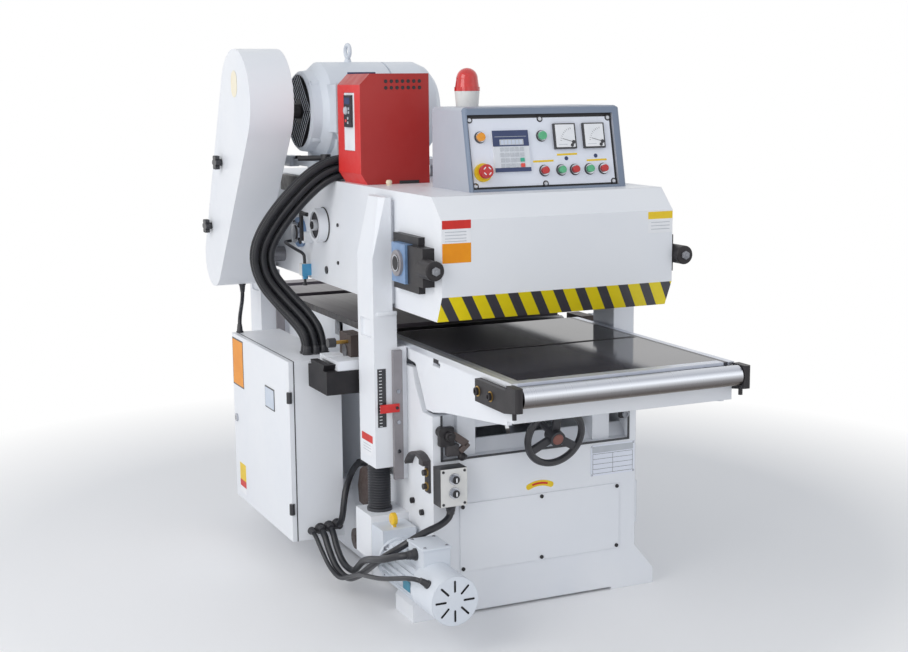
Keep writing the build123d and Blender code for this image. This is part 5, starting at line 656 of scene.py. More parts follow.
def ribTube(name, curve):
    radius, root, pitch = conduits["radius"], conduits["root"], conduits["pitch"]
    clearPick()
    bpy.ops.mesh.primitive_circle_add(vertices=conduits["sides"], radius=root, rotation=(0, math.pi / 2, 0))
    tube = opened(name)
    for step, grow in ((0.25, radius / root), (0.5, 1.0), (0.25, root / radius)):
        bpy.ops.mesh.extrude_edges_move(TRANSFORM_OT_translate={"value": (step * pitch, 0, 0)})
        bpy.ops.transform.resize(value=(1, grow, grow), center_override=(0, 0, 0))
    bpy.ops.object.mode_set(mode="OBJECT")
    repeat = tube.modifiers.new("repeat", "ARRAY")
    repeat.fit_type = "FIT_CURVE"
    repeat.curve = curve
    repeat.use_relative_offset = False
    repeat.use_constant_offset = True
    repeat.constant_offset_displace = (pitch, 0, 0)
    repeat.use_merge_vertices = True
    follow = tube.modifiers.new("follow", "CURVE")
    follow.object = curve
    follow.deform_axis = "POS_X"
    pick(tube)
    bpy.ops.object.modifier_apply(modifier="repeat")
    bpy.ops.object.modifier_apply(modifier="follow")
    bpy.ops.object.mode_set(mode="EDIT")
    return sealed(tube, "cableBlack", conduits["smooth"])


bundle = {(row, lane): bundleRoute(row, lane) for row in (-1, 1) for lane in (-1, 0, 1)}
for (row, lane), route in bundle.items():
    guide = routeCurve("conduitGuide", route, 0)
    spine = readRoute(guide)
    conduit = ribTube(f"conduit_{row + 1}_{lane + 1}", guide)
    bpy.data.objects.remove(guide)
    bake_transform(conduit)
    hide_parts("conduit_bundle")

guardLead = {"radius": 0.007, "length": 0.234, "points": [
    (-0.537, 0.516, 0.872), (-0.537, 0.516, 0.848), (-0.542, 0.503, 0.818), (-0.563, 0.451, 0.794),
    (-0.585, 0.396, 0.770), (-0.590, 0.383, 0.741), (-0.590, 0.383, 0.718)]}

guide = routeCurve("guardLead", guardLead["points"], 0)
spine = readRoute(guide)
guide.data.bevel_depth = guardLead["radius"]
pick(guide)
bpy.ops.object.convert(target="MESH")
guardCord = bpy.context.object
guardCord.data.materials.append(finishes["cableBlack"])
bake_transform(guardCord)
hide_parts("conduit_bundle")
print("conduits laid")


# bellows over the jack screws

bellows = {"low": 0.283, "high": 0.430, "outer": 0.036, "inner": 0.029, "crown": 0.0012, "shoulder": 0.42,
           "folds": 16, "sides": 48, "collar": ((0.0085, 0.039), (0.0015, 0.037)), "neck": 0.001, "tail": 0.004,
           "smooth": 40, "x": 0.416, "rows": (-0.494, 0.640)}


def bellowsSleeve(name, x, y):
    outer, inner, radius = bellows["outer"], bellows["inner"], bellows["collar"][0][1]
    clearPick()
    bpy.ops.mesh.primitive_circle_add(vertices=bellows["sides"], radius=radius, location=(x, y, bellows["low"]))
    sleeve = opened(name)
    ends = sum(step for step, ring in bellows["collar"]) + bellows["neck"] + bellows["tail"]
    rise = (bellows["high"] - bellows["low"] - ends) / (2 * bellows["folds"])
    shoulder = (bellows["shoulder"] * rise, outer - bellows["crown"])
    fold = [shoulder, ((1 - 2 * bellows["shoulder"]) * rise, outer), shoulder, (rise, inner)]
    rings = [*bellows["collar"], (bellows["neck"], inner), *fold * bellows["folds"], (bellows["tail"], inner)]
    for step, ring in rings:
        bpy.ops.mesh.extrude_edges_move(TRANSFORM_OT_translate={"value": (0, 0, step)})
        bpy.ops.transform.resize(value=(ring / radius, ring / radius, 1), center_override=(x, y, 0))
        radius = ring
    return sealed(sleeve, "rubber", bellows["smooth"])


for y in bellows["rows"]:
    for side in (-1, 1):
        x = side * bellows["x"]
        sleeve = bellowsSleeve(f"bellows_{'left' if side < 0 else 'right'}_{'front' if y < 0 else 'rear'}", x, y)
        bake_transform(sleeve)
        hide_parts("lift_bellows")
print("bellows made")


# small fittings: how each one is modelled, then set on its seats

def lathe(name, rings, finish, sides=28):  # rings of (height, radius), from the seat outwards
    clearPick()
    height, radius = rings[0]
    bpy.ops.mesh.primitive_circle_add(vertices=sides, radius=radius, fill_type="NGON", location=(0, 0, height))
    piece = opened(name)
    for (lastHeight, lastRadius), (height, radius) in zip(rings, rings[1:]):
        grow = radius / lastRadius
        bpy.ops.mesh.extrude_region_move(TRANSFORM_OT_translate={"value": (0, 0, height - lastHeight)})
        bpy.ops.transform.resize(value=(grow, grow, 1), center_override=(0, 0, height))
    return sealed(piece, finish)


def slab(name, size, finish, edge=0.0003):
    clearPick()
    bpy.ops.mesh.primitive_cube_add(size=1, location=(0, 0, size[2] / 2), scale=size)
    piece = opened(name)
    bpy.ops.mesh.bevel(offset=min(edge, size[2] / 3), segments=2, affect="EDGES")
    return sealed(piece, finish)


def plate(name, size, corner, finish, *bands):  # round corners; bands of (lower edge, finish) upwards
    clearPick()
    bpy.ops.mesh.primitive_plane_add(size=1)
    piece = opened(name, (size[0], size[1], 1))
    bpy.ops.mesh.bevel(offset=corner, segments=4, affect="VERTICES")
    bpy.ops.mesh.select_all(action="SELECT")
    bpy.ops.mesh.extrude_region_move(TRANSFORM_OT_translate={"value": (0, 0, size[2])})
    for edge, colour in bands:
        bpy.ops.mesh.select_all(action="SELECT")
        bpy.ops.mesh.bisect(plane_co=(0, edge, 0), plane_no=(0, 1, 0))
    sealed(piece, finish)
    for number, (edge, colour) in enumerate(bands, start=1):
        piece.data.materials.append(finishes[colour])
        for face in piece.data.polygons:
            if face.center.y > edge:
                face.material_index = number
    return piece


def arcBar(name, radius, band, height, sweep, finish):  # a bar bent round its seat, from the x axis on
    clearPick()
    bpy.ops.mesh.primitive_plane_add(size=1, location=(radius, 0, height / 2), rotation=(math.pi / 2, 0, 0))
    piece = opened(name, (band, height, 1))
    bpy.ops.mesh.spin(steps=24, angle=-math.radians(sweep), center=(0, 0, 0), axis=(0, 0, 1))
    return sealed(piece, finish)


def socketHead(rim, wall, lip, crown, bore, floor, foot=0.0):  # rings of a screw head with a hole in it
    return [(foot, rim), (wall, rim), (lip, crown), (lip, bore), (floor, bore)]


def put(piece, body, *seats):  # a copy with its own mesh on every seat, joined and riding one body
    copies = [piece]
    for seat in seats[1:]:
        twin = piece.copy()
        twin.data = piece.data.copy()
        scene.collection.objects.link(twin)
        copies.append(twin)
    for twin, seat in zip(copies, seats):
        twin.data.transform(seat)
    pick(*copies)
    if len(copies) > 1:
        bpy.ops.object.join()
    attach(piece, body)


def shifted(seat, u, v, lift=0.0, spin=0.0):
    return seat @ Matrix.Translation((u, v, lift)) @ Matrix.Rotation(math.radians(spin), 4, "Z")


def onPanel(u, v, lift=0.0, spin=0.0):
    return shifted(panelSeat, u, v, lift, spin)


def spread(seat, *places):  # the same seat moved to several places across it
    return [shifted(seat, u, v) for u, v in places]


def corners(seat, u, v):
    return spread(seat, (-u, v), (u, v), (-u, -v), (u, -v))


def around(radius, *angles):
    return [(radius * math.cos(math.radians(a)), radius * math.sin(math.radians(a))) for a in angles]


quarters = (45, 135, 225, 315)

# control panel
panelScrews = {"u": (-0.236, -0.006, 0.226), "v": (0.0185, 0.2125), "head": 0.0062, "notch": 0.0098}

screwSpots = [onPanel(u, v) for u in panelScrews["u"] for v in panelScrews["v"]]
head, notch = panelScrews["head"], panelScrews["notch"]
# dark notch rings round the panel screws are painted shade
put(lathe("panelNotches", [(0, notch), (0.0006, notch), (0.0007, 0.009)], "darkMatteAndPaintedShade"), "head", *screwSpots)
put(lathe("panelScrews", [(0.0006, head), (0.0022, head), (0.0036, 0.7 * head), (0.004, 0.3 * head)], "chrome"),
    "head", *screwSpots)

meters = {"u": (0.07, 0.169), "v": 0.1585, "lift": 0.009, "face": (0.064, 0.068, 0.0006), "pivot": (0.0262, -0.0195),
          "arc": 0.042, "ticks": range(100, 173, 9), "needle": (-0.019, 0.006), "needleTurn": 164,
          "foot": (-0.01, -0.026)}

printed = meters["lift"] + meters["face"][2]
pivots = [(u + meters["pivot"][0], meters["v"] + meters["pivot"][1]) for u in meters["u"]]
tickSpots = [onPanel(u + du, v + dv, printed, angle - 90)
             for u, v in pivots for angle in meters["ticks"] for du, dv in around(meters["arc"], angle)]
needleSpots = [onPanel(u + meters["needle"][0], v + meters["needle"][1], printed + 0.0002, meters["needleTurn"])
               for u, v in pivots]
put(plate("meterFaces", meters["face"], 0.0015, "labelWhite"), "head",
    *[onPanel(u, meters["v"], meters["lift"]) for u in meters["u"]])
put(slab("meterTicks", (0.0009, 0.005, 0.0003), "darkMatteAndPaintedShade"), "head", *tickSpots)
put(slab("meterNeedles", (0.036, 0.0013, 0.0006), "darkMatteAndPaintedShade"), "head", *needleSpots)
put(lathe("meterPivots", [(0, 0.0056), (0.0016, 0.0056), (0.0024, 0.0044), (0.0025, 0.002)], "blackPlastic"),
    "head", *[onPanel(u, v, printed) for u, v in pivots])
put(slab("meterFeet", (0.03, 0.0014, 0.0003), "labelGrey"), "head",
    *[onPanel(u + meters["foot"][0], meters["v"] + meters["foot"][1], printed) for u in meters["u"]])

keyUnit = {"u": -0.112, "lift": 0.007, "thick": 0.0006, "wide": 0.118, "head": (0.1555, 0.047),
           "foot": (0.0625, 0.0125), "line": 0.1605, "display": (0.144, 0.0165), "displayShift": 0.002,
           "digits": 6, "digitPitch": 0.0122}

printed = keyUnit["lift"] + keyUnit["thick"]
for name, part in (("keyUnitHead", "head"), ("keyUnitFoot", "foot")):
    v, tall = keyUnit[part]
    put(plate(name, (keyUnit["wide"], tall, keyUnit["thick"]), 0.0015, "labelBlue"), "head",
        onPanel(keyUnit["u"], v, keyUnit["lift"]))
v, tall = keyUnit["display"]
u = keyUnit["u"] + keyUnit["displayShift"]
put(plate("keyUnitDisplay", (0.078, tall, 0.0004), 0.001, "labelGrey"), "head", onPanel(u, v, printed))
put(plate("keyUnitDigits", (0.0095, 0.0125, 0.0003), 0.003, "displayPale"), "head",
    *[onPanel(u + keyUnit["digitPitch"] * (n - (keyUnit["digits"] - 1) / 2), v, printed + 0.0004)
      for n in range(keyUnit["digits"])])
put(slab("keyUnitLine", (0.104, 0.0012, 0.0003), "labelGrey"), "head",
    onPanel(keyUnit["u"], keyUnit["line"], printed))

panelBars = {"spots": ((-0.007, 0.086), (0.0747, 0.1042), (0.1743, 0.0845)), "size": (0.069, 0.0056, 0.0005),
             "turn": 1.0, "marks": ((0.0712, 0.0922), (0.1719, 0.0974))}

put(plate("panelBars", panelBars["size"], 0.0015, "labelYellow"), "head",
    *[onPanel(u, v, 0.0, panelBars["turn"]) for u, v in panelBars["spots"]])
put(lathe("panelMarks", socketHead(0.0062, 0.0008, 0.0012, 0.005, 0.003, 0.0006), "labelBlue"), "head",
    *[onPanel(u, v) for u, v in panelBars["marks"]])

stopCap = {"u": -0.21, "v": 0.0575, "radius": 0.0206, "top": 0.035, "marks": 0.0112}

put(lathe("stopCap", [(0.0178, 0.018), (0.0195, stopCap["radius"]), (0.0285, stopCap["radius"]), (0.033, 0.0188),
                      (stopCap["top"], 0.015), (0.0352, 0.006)], "lensRed"), "stop",
    onPanel(stopCap["u"], stopCap["v"]))
put(plate("stopMarks", (0.0095, 0.003, 0.0005), 0.0008, "labelWhite"), "stop",
    *[onPanel(stopCap["u"] + du, stopCap["v"] + dv, stopCap["top"], angle + 90)
      for angle in quarters for du, dv in around(stopCap["marks"], angle)])

buttons = {"u": (-0.007, 0.05, 0.096, 0.146, 0.194), "v": 0.0575, "green": (2, 4),
           "lamps": ((-0.208, 0.161), (-0.006, 0.161))}

for number, u in enumerate(buttons["u"], start=1):
    put(lathe(f"buttonCap_{number}", [(0.015, 0.01), (0.0158, 0.0106), (0.0164, 0.01), (0.0168, 0.007)],
              "lensGreen" if number in buttons["green"] else "lensRed"), f"push_{number}", onPanel(u, buttons["v"]))
put(lathe("buttonRings", socketHead(0.0172, 0.0022, 0.003, 0.016, 0.014, 0.0015), "blackPlastic"), "head",
    *[onPanel(u, buttons["v"]) for u in buttons["u"]], *[onPanel(u, v) for u, v in buttons["lamps"]])
print("control panel fitted")

# front cover: plain plates in bands of colour
coverPlates = {"left": (-0.33, 1.1465), "leftSize": (0.088, 0.119, 0.0006), "right": (0.3335, 1.17),
               "rightSize": (0.084, 0.063, 0.0006), "face": -0.894}

face, printed = coverPlates["face"], coverPlates["face"] - coverPlates["leftSize"][2]
x, z = coverPlates["left"]
put(plate("coverPlateLeft", coverPlates["leftSize"], 0.001, "labelOrange", (-0.0045, "labelWhite"),
          (0.0355, "labelRed")), "head", front(x, face, z))
put(slab("coverPlateLines", (0.066, 0.0022, 0.0003), "labelGrey"), "head",
    *spread(front(x, printed, z), *[(-0.003, v) for v in (0.027, 0.018, 0.009, 0.001)]))
x, z = coverPlates["right"]
put(plate("coverPlateRight", coverPlates["rightSize"], 0.001, "labelWhite", (0.01, "labelYellow")), "head",
    front(x, face, z))
put(slab("coverPlateRightLines", (0.064, 0.0022, 0.0003), "labelGrey"), "head",
    *spread(front(x, printed, z), *[(0, v) for v in (0, -0.01, -0.02)]))

# red box: vent holes, keypad face, slot and knob at its foot
ventHoles = {"x": -0.289, "y": -0.284, "z": (1.588, 1.568), "pitch": 0.019, "across": 7, "radius": 0.0054}
boxFittings = {"keypad": (-0.383, -0.188, 1.496), "slot": (-0.2137, -0.284, 1.2735),
               "knob": (-0.3006, -0.3272, 1.268), "strip": (-0.295, -0.091, 1.612)}

hole = ventHoles["radius"]
# vent holes: dark cups set into the face, painted shade inside the holes
put(lathe("ventHoles", [(-0.003, 0.003), (0.0002, hole), (0.0005, hole * 1.08), (0.0005, 0.004), (0.0001, 0.0034)],
          "darkMatteAndPaintedShade", sides=20), "head",
    *[front(ventHoles["x"] + n * ventHoles["pitch"], ventHoles["y"], z)
      for n in range(ventHoles["across"]) for z in ventHoles["z"]])
keypad = left(*boxFittings["keypad"])
put(plate("driveKeypadDisplay", (0.046, 0.02, 0.0008), 0.002, "labelBlue"), "head", shifted(keypad, 0, 0.032))
put(lathe("driveKeypadDial", [(0, 0.0125), (0.003, 0.0125), (0.005, 0.0105), (0.006, 0.0105), (0.0064, 0.004)],
          "labelGrey"), "head", shifted(keypad, -0.01, 0.002))
put(plate("driveKeypadKeys", (0.01, 0.008, 0.0012), 0.002, "labelGrey"), "head",
    *spread(keypad, (0.014, 0.008), (0.014, -0.004), (0.006, -0.022), (0.006, -0.036)))
put(plate("driveKeypadRedKey", (0.012, 0.009, 0.0012), 0.002, "keyRed"), "head", shifted(keypad, -0.012, -0.03))
# foot slot: a dark sheet of painted shade
put(slab("boxFootSlot", (0.067, 0.01, 0.0012), "darkMatteAndPaintedShade"), "head", front(*boxFittings["slot"]))
put(lathe("boxFootKnob", [(0, 0.0075), (0.004, 0.0085), (0.01, 0.01), (0.015, 0.0085), (0.017, 0.004)], "ivory"),
    "head", top(*boxFittings["knob"]))
put(slab("boxRearStrip", (0.094, 0.012, 0.006), "labelBlue", edge=0.001), "head", top(*boxFittings["strip"]))
print("cover and red box fitted")

# upper motor: lid screws, gland, plate bolts, lugs round its bell
motorFittings = {"lid": (-0.291, -0.051, 1.502), "lidScrews": (0.066, 0.069), "gland": (-0.33, 0, 1.425),
                 "boltX": (-0.385, 0.045), "boltY": (0.045, 0.298), "boltZ": 1.326,
                 "bell": (-0.415, 0.171, 1.491), "lugs": 0.128}
hexBolt = [(0, 0.0155), (0.002, 0.0155), (0.0021, 0.0115), (0.01, 0.0115), (0.0115, 0.0095)]

put(lathe("motorLidScrews", socketHead(0.0065, 0.003, 0.0042, 0.0052, 0.003, 0.002), "brightSteel"), "head",
    *corners(front(*motorFittings["lid"]), *motorFittings["lidScrews"]))
put(lathe("motorGland", [(0, 0.021), (0.012, 0.021), (0.013, 0.0175), (0.028, 0.0165), (0.032, 0.013)],
          "motorEnamel", sides=12), "head", below(*motorFittings["gland"]))
put(lathe("motorPlateBolts", hexBolt, "blackOxide", sides=6), "head",
    *[top(x, y, motorFittings["boltZ"]) for x in motorFittings["boltX"] for y in motorFittings["boltY"]])
put(lathe("motorBellLugs", [(-0.036, 0.0125), (-0.006, 0.0125), (-0.004, 0.0115), (-0.004, 0.0075), (0.002, 0.0075),
                            (0.003, 0.006)], "motorEnamel", sides=16), "head",
    *spread(left(*motorFittings["bell"]), *around(motorFittings["lugs"], *quarters)))

# drum bearings, pressure disc, take-up, bracket end below the motor
drumFittings = {"flange": (0.3903, 0.31, 1.07), "bolts": 0.0435, "plug": (-0.41, 0.198, 1.062),
                "frontShaft": (-0.684, 1.07), "nuts": (0.406, -0.919, 1.07), "bracket": (-0.376, 0.385, 1.237)}
disc = {"y": 0.075, "z": 1.115, "seam": -0.376, "ring": -0.403, "bush": -0.417, "sides": 56}

put(lathe("flangeBolts", socketHead(0.0085, 0.005, 0.0058, 0.007, 0.0042, 0.003), "blackOxide", sides=12), "head",
    *[spot for flange in bothSides(*drumFittings["flange"])
      for spot in spread(flange, *around(drumFittings["bolts"], *quarters))])
# dark seam ring behind the disc and dark ring on the recess's inner wall: painted shade
put(lathe("discSeam", [(0, 0.0575), (0.0008, 0.0592), (0.0034, 0.0592), (0.004, 0.0572)], "darkMatteAndPaintedShade",
          sides=disc["sides"]), "head", left(disc["seam"], disc["y"], disc["z"]))
put(lathe("discBush", socketHead(0.0135, 0.004, 0.005, 0.011, 0.006, 0.002), "blackOxide"), "head",
    left(disc["bush"], disc["y"], disc["z"]))
put(lathe("discRing", [(0, 0.0445), (0.0016, 0.0445), (0.002, 0.0435), (0.002, 0.0412), (0.0004, 0.0408)], "darkMatteAndPaintedShade",
          sides=disc["sides"]), "head", left(disc["ring"], disc["y"], disc["z"]))
put(lathe("bossPlug", [(0, 0.0105), (0.0012, 0.0105), (0.0014, 0.008)], "hubBrown"), "head",
    left(*drumFittings["plug"]))
boreFace = min(v.co.x for v in nodes["front_drum"].data.vertices)
# dark discs in the shaft bores: painted shade
put(lathe("shaftBores", [(-0.0005, 0.0205), (0.0004, 0.0205), (0.0006, 0.018)], "darkMatteAndPaintedShade"), "front_track_drum",
    *bothSides(-boreFace, *drumFittings["frontShaft"]))
x, y, z = drumFittings["nuts"]
put(lathe("takeupNuts", [(0, 0.0125), (0.0075, 0.0125), (0.009, 0.0105), (0.009, 0.006), (0.0125, 0.006),
                         (0.0135, 0.004)], "greyCast", sides=6), "head", front(-x, y, z), front(x, y, z))
put(slab("sideBracket", (0.18, 0.056, 0.02), "darkIron", edge=0.004), "head", left(*drumFittings["bracket"]))
print("head fittings set")

# infeed: bracket bolts on washers, handwheel cap, slot in the casting
infeedFittings = {"bracketX": 0.362, "bracketY": (-1.092, -1.17), "bracketZ": 0.763, "slot": (-0.34, -0.766, 0.793)}
washer = [(0, 0.0145), (0.0016, 0.0145), (0.0019, 0.0136), (0.0019, 0.0095)]
socketBolt = socketHead(0.0112, 0.0082, 0.009, 0.01, 0.006, 0.0055, foot=0.0016)

bracketSpots = [spot for y in infeedFittings["bracketY"]
                for spot in bothSides(infeedFittings["bracketX"], y, infeedFittings["bracketZ"])]
put(lathe("bracketWashers", washer, "brassWasher"), "infeed", *bracketSpots)
put(lathe("bracketBolts", socketBolt, "blackOxide", sides=20), "infeed", *bracketSpots)
put(lathe("wheelCap", [(0.018, 0.0172), (0.0222, 0.0172), (0.025, 0.015), (0.0262, 0.008)], "hubBrown"), "wheel",
    wheelSeat)
# slot in the casting: a dark sheet of painted shade
put(slab("castingSlot", (0.036, 0.024, 0.0006), "darkMatteAndPaintedShade"), "infeed", left(*infeedFittings["slot"]))

# lock lever: its clamp, boss, bent arm, stem and ball, placed from its pivot
lock = {"pivot": (-0.322, -0.7505, 0.574), "boss": (0.018, -0.012), "ball": (0.072, -0.082, 0.013)}

lockPivot = front(*lock["pivot"])


def lockSlab(name, size, finish, edge, place, turn=0.0):
    put(slab(name, size, finish, edge), "lock", shifted(lockPivot, *place, turn))


lockSlab("lockBlock", (0.046, 0.058, 0.024), "blackOxide", 0.004, (0.012, -0.014, 0.001))
lockSlab("lockFoot", (0.04, 0.036, 0.02), "darkIron", 0.003, (0.031, -0.056, 0.004))
put(lathe("lockBoss", [(0.024, 0.016), (0.034, 0.016), (0.036, 0.014), (0.036, 0.008), (0.04, 0.008),
                       (0.041, 0.006)], "blackOxide"), "lock", shifted(lockPivot, *lock["boss"]))
lockSlab("lockArm", (0.058, 0.022, 0.014), "brownIron", 0.003, (0.052, -0.024, 0.014), -36)
lockSlab("lockArmTip", (0.036, 0.018, 0.014), "brownIron", 0.003, (0.066, -0.05, 0.014), 40)
lockSlab("lockStem", (0.03, 0.006, 0.006), "blackOxide", 0.001, (0.058, -0.072, 0.01), -38)
put(lathe("lockBall", [(-0.009, 0.002), (-0.007, 0.0056), (-0.004, 0.0081), (0, 0.009), (0.004, 0.0081),
                       (0.007, 0.0056), (0.009, 0.002)], "blackPlastic", sides=24), "lock",
    shifted(lockPivot, *lock["ball"]))

# base front: clamp and trim at the window, plain ruled plate, switch box
windowClamp = {"x": 0.297, "z": 0.579, "face": -0.7505, "boltFace": -0.765, "bolts": (0.567, 0.591)}

put(slab("windowClamp", (0.034, 0.05, 0.016), "blackOxide", edge=0.003), "base",
    front(windowClamp["x"], windowClamp["face"], windowClamp["z"]))
put(lathe("windowClampBolts", socketBolt, "greyCast", sides=20), "base",
    *[front(windowClamp["x"], windowClamp["boltFace"], z) for z in windowClamp["bolts"]])

windowTrim = {"half": 0.315, "sill": 0.488, "head": 0.62, "face": -0.75, "width": 0.007, "proud": 0.003,
              "edge": 0.001}

half, sill, width, proud = (windowTrim[key] for key in ("half", "sill", "width", "proud"))
tall = windowTrim["head"] - sill
put(slab("windowTrimSill", (2 * half, width, proud), "rubber", windowTrim["edge"]), "base",
    front(0, windowTrim["face"], sill - width / 2))
put(slab("windowTrimSides", (width, tall + width, proud), "rubber", windowTrim["edge"]), "base",
    *[front(side * (half + width / 2), windowTrim["face"], sill + tall / 2 - width / 2) for side in (-1, 1)])

ruledPlate = {"place": (0.263, -0.7515, 0.425), "head": 0.034, "rules": (0.02, 0.004, -0.012, -0.028, -0.042),
              "uprights": (-0.071, 0.0, 0.071), "uprightV": -0.011, "rivets": (0.074, 0.045)}

plateSeat = front(*ruledPlate["place"])
put(plate("namePlateHead", (0.146, 0.02, 0.0004), 0.001, "labelGrey"), "base",
    shifted(plateSeat, 0, ruledPlate["head"]))
put(slab("namePlateRules", (0.142, 0.0009, 0.0004), "darkMatteAndPaintedShade"), "base",
    *spread(plateSeat, *[(0, v) for v in ruledPlate["rules"]]))
put(slab("namePlateUprights", (0.0009, 0.062, 0.0004), "darkMatteAndPaintedShade"), "base",
    *spread(plateSeat, *[(u, ruledPlate["uprightV"]) for u in ruledPlate["uprights"]]))
put(lathe("namePlateRivets", [(0, 0.0034), (0.001, 0.0032), (0.0018, 0.0018)], "chrome", sides=16), "base",
    *corners(plateSeat, *ruledPlate["rivets"]))

switchBox = {"face": (-0.3035, -0.804, 0.415), "screws": (0.034, 0.049), "pointerX": -0.303, "pointerY": -0.823,
             "pointers": {"low_selector": 0.399, "high_selector": 0.441}}

put(lathe("switchScrews", socketHead(0.0042, 0.0012, 0.0016, 0.0032, 0.0018, 0.0006), "blackPlastic", sides=16),
    "base", *corners(front(*switchBox["face"]), *switchBox["screws"]))
for name, z in switchBox["pointers"].items():
    put(slab(f"{name}Pointer", (0.0045, 0.0125, 0.0008), "labelWhite"), name,
        front(switchBox["pointerX"], switchBox["pointerY"], z))
print("infeed and base front fitted")

# infeed table: dark inlay across the joint of its two plates
tableJoint = {"place": (0, -0.795, 0.8116), "size": (0.618, 0.022, 0.0007)}

put(slab("tableJoint", tableJoint["size"], "railBlack"), "infeed", top(*tableJoint["place"]))

# cabinet: seams on the body, plates, window frame and hinge barrels on the door
cabinet = {"seamX": -0.5982, "seamTop": (0.08, 0.718), "seamFront": (-0.236, 0.424), "door": -0.615,
           "notice": (0.331, 0.62), "edging": 0.0004, "tag": (0.312, 0.206), "window": (-0.031, 0.563),
           "lockFace": -0.621, "lockSlot": (0.362, 0.418), "hingeY": -0.236, "hinges": (0.238, 0.603)}

put(slab("doorSeamTop", (0.0032, 0.632, 0.0009), "rubber"), "base", top(cabinet["seamX"], *cabinet["seamTop"]))
put(slab("doorSeamFront", (0.0032, 0.588, 0.0009), "rubber"), "base", front(cabinet["seamX"], *cabinet["seamFront"]))
put(plate("doorNoticeEdge", (0.128, 0.168, cabinet["edging"]), 0.001, "blackPlastic"), "door",
    left(cabinet["door"], *cabinet["notice"]))
put(plate("doorNotice", (0.118, 0.158, 0.0004), 0.001, "labelOrange"), "door",
    left(cabinet["door"] - cabinet["edging"], *cabinet["notice"]))
put(plate("doorTag", (0.07, 0.108, 0.0005), 0.001, "labelWhite", (-0.03, "labelRed"), (-0.006, "labelYellow")),
    "door", left(cabinet["door"], *cabinet["tag"]))
put(plate("doorWindowFrame", (0.1, 0.073, 0.0011), 0.002, "blackPlastic"), "door",
    left(cabinet["door"], *cabinet["window"]))
# lock slot: a dark sheet of painted shade
put(slab("doorLockSlot", (0.003, 0.014, 0.0004), "darkMatteAndPaintedShade"), "door", left(cabinet["lockFace"], *cabinet["lockSlot"]))
put(lathe("hingeBarrels", [(-0.018, 0.0078), (-0.017, 0.0088), (-0.001, 0.0088), (0.001, 0.0088), (0.017, 0.0088),
                           (0.018, 0.0078)], "blackPlastic"), "door",
    *[top(cabinet["door"], cabinet["hingeY"], z) for z in cabinet["hinges"]])

# lift motor: flange bolts, plain plate, oil cap, terminal box lid and its screws
liftMotor = {"flange": (-0.42, -0.664, 0.17), "bolts": 0.056, "plate": (-0.4912, -0.885, 0.172),
             "cap": (-0.4255, -0.62, 0.286), "lid": (-0.4155, -0.875, 0.278), "lidSize": (0.091, 0.118, 0.007),
             "lidScrews": (0.034, 0.046)}

put(lathe("liftFlangeBolts", hexBolt, "brightSteel", sides=6), "base",
    *spread(front(*liftMotor["flange"]), *around(liftMotor["bolts"], *quarters)))
put(plate("liftPlate", (0.05, 0.03, 0.001), 0.002, "plateTeal"), "base", left(*liftMotor["plate"]))
put(lathe("oilCap", [(-0.01, 0.0188), (-0.0095, 0.0195), (0.001, 0.0195), (0.004, 0.0165), (0.005, 0.008)],
          "plugYellow"), "base", left(*liftMotor["cap"]))
lid = top(*liftMotor["lid"])
put(lathe("terminalLidScrews", socketHead(0.005, 0.002, 0.003, 0.0036, 0.002, 0.001), "brightSteel", sides=16),
    "base", *corners(shifted(lid, 0, 0, liftMotor["lidSize"][2]), *liftMotor["lidScrews"]))
put(slab("terminalLid", liftMotor["lidSize"], "motorEnamel", edge=0.002), "base", lid)

# plain arc and oval stickers
arcTag = {"place": (0.008, -0.75, 0.287), "radius": 0.0905, "width": 0.018, "thick": 0.0006, "sweep": 50, "start": 65,
          "bandWidth": 0.006, "bandSweep": 34, "bandStart": 73}
oval = {"place": (-0.6405, 0.183, 1.584), "size": (0.068, 0.088, 0.0006), "corner": 0.033}

arcSeat, halfWidth = front(*arcTag["place"]), arcTag["width"] / 2
put(arcBar("frontArc", arcTag["radius"], arcTag["width"], arcTag["thick"], arcTag["sweep"], "labelYellow"), "base",
    shifted(arcSeat, 0, 0, 0, arcTag["start"]))
put(lathe("frontArcEnds", [(0, halfWidth), (0.0003, halfWidth), (0.0004, 0.0088)], "labelYellow", sides=24), "base",
    *spread(arcSeat, *around(arcTag["radius"], arcTag["start"], arcTag["start"] + arcTag["sweep"])))
put(arcBar("frontArcBand", arcTag["radius"], arcTag["bandWidth"], 0.0004, arcTag["bandSweep"], "labelRed"), "base",
    shifted(arcSeat, 0, 0, arcTag["thick"], arcTag["bandStart"]))
put(plate("guardOval", oval["size"], oval["corner"], "labelCream"), "head", left(*oval["place"]))

# left front column: lip, plain tag, screw of its pointer
column = {"lip": (-0.4085, -0.559, 0.903), "tag": (-0.451, -0.49, 0.492), "tagSize": (0.09, 0.066, 0.0006),
          "lines": (0, -0.009, -0.018), "pointer": (-0.386, -0.576, 0.616)}

tagSeat = left(*column["tag"])
put(slab("columnLip", (0.064, 0.013, 0.005), "castEnamel", edge=0.002), "head", front(*column["lip"]))
put(plate("columnTag", column["tagSize"], 0.001, "labelWhite", (0.01, "labelRed")), "head", tagSeat)
put(slab("columnTagLines", (0.064, 0.0022, 0.0003), "labelGrey"), "head",
    *[shifted(tagSeat, 0, v, column["tagSize"][2]) for v in column["lines"]])
put(lathe("pointerScrew", [(0, 0.005), (0.002, 0.005), (0.0028, 0.0034)], "darkMatteAndPaintedShade", sides=16), "base",
    front(*column["pointer"]))
print("cabinet, lift motor and column fitted")

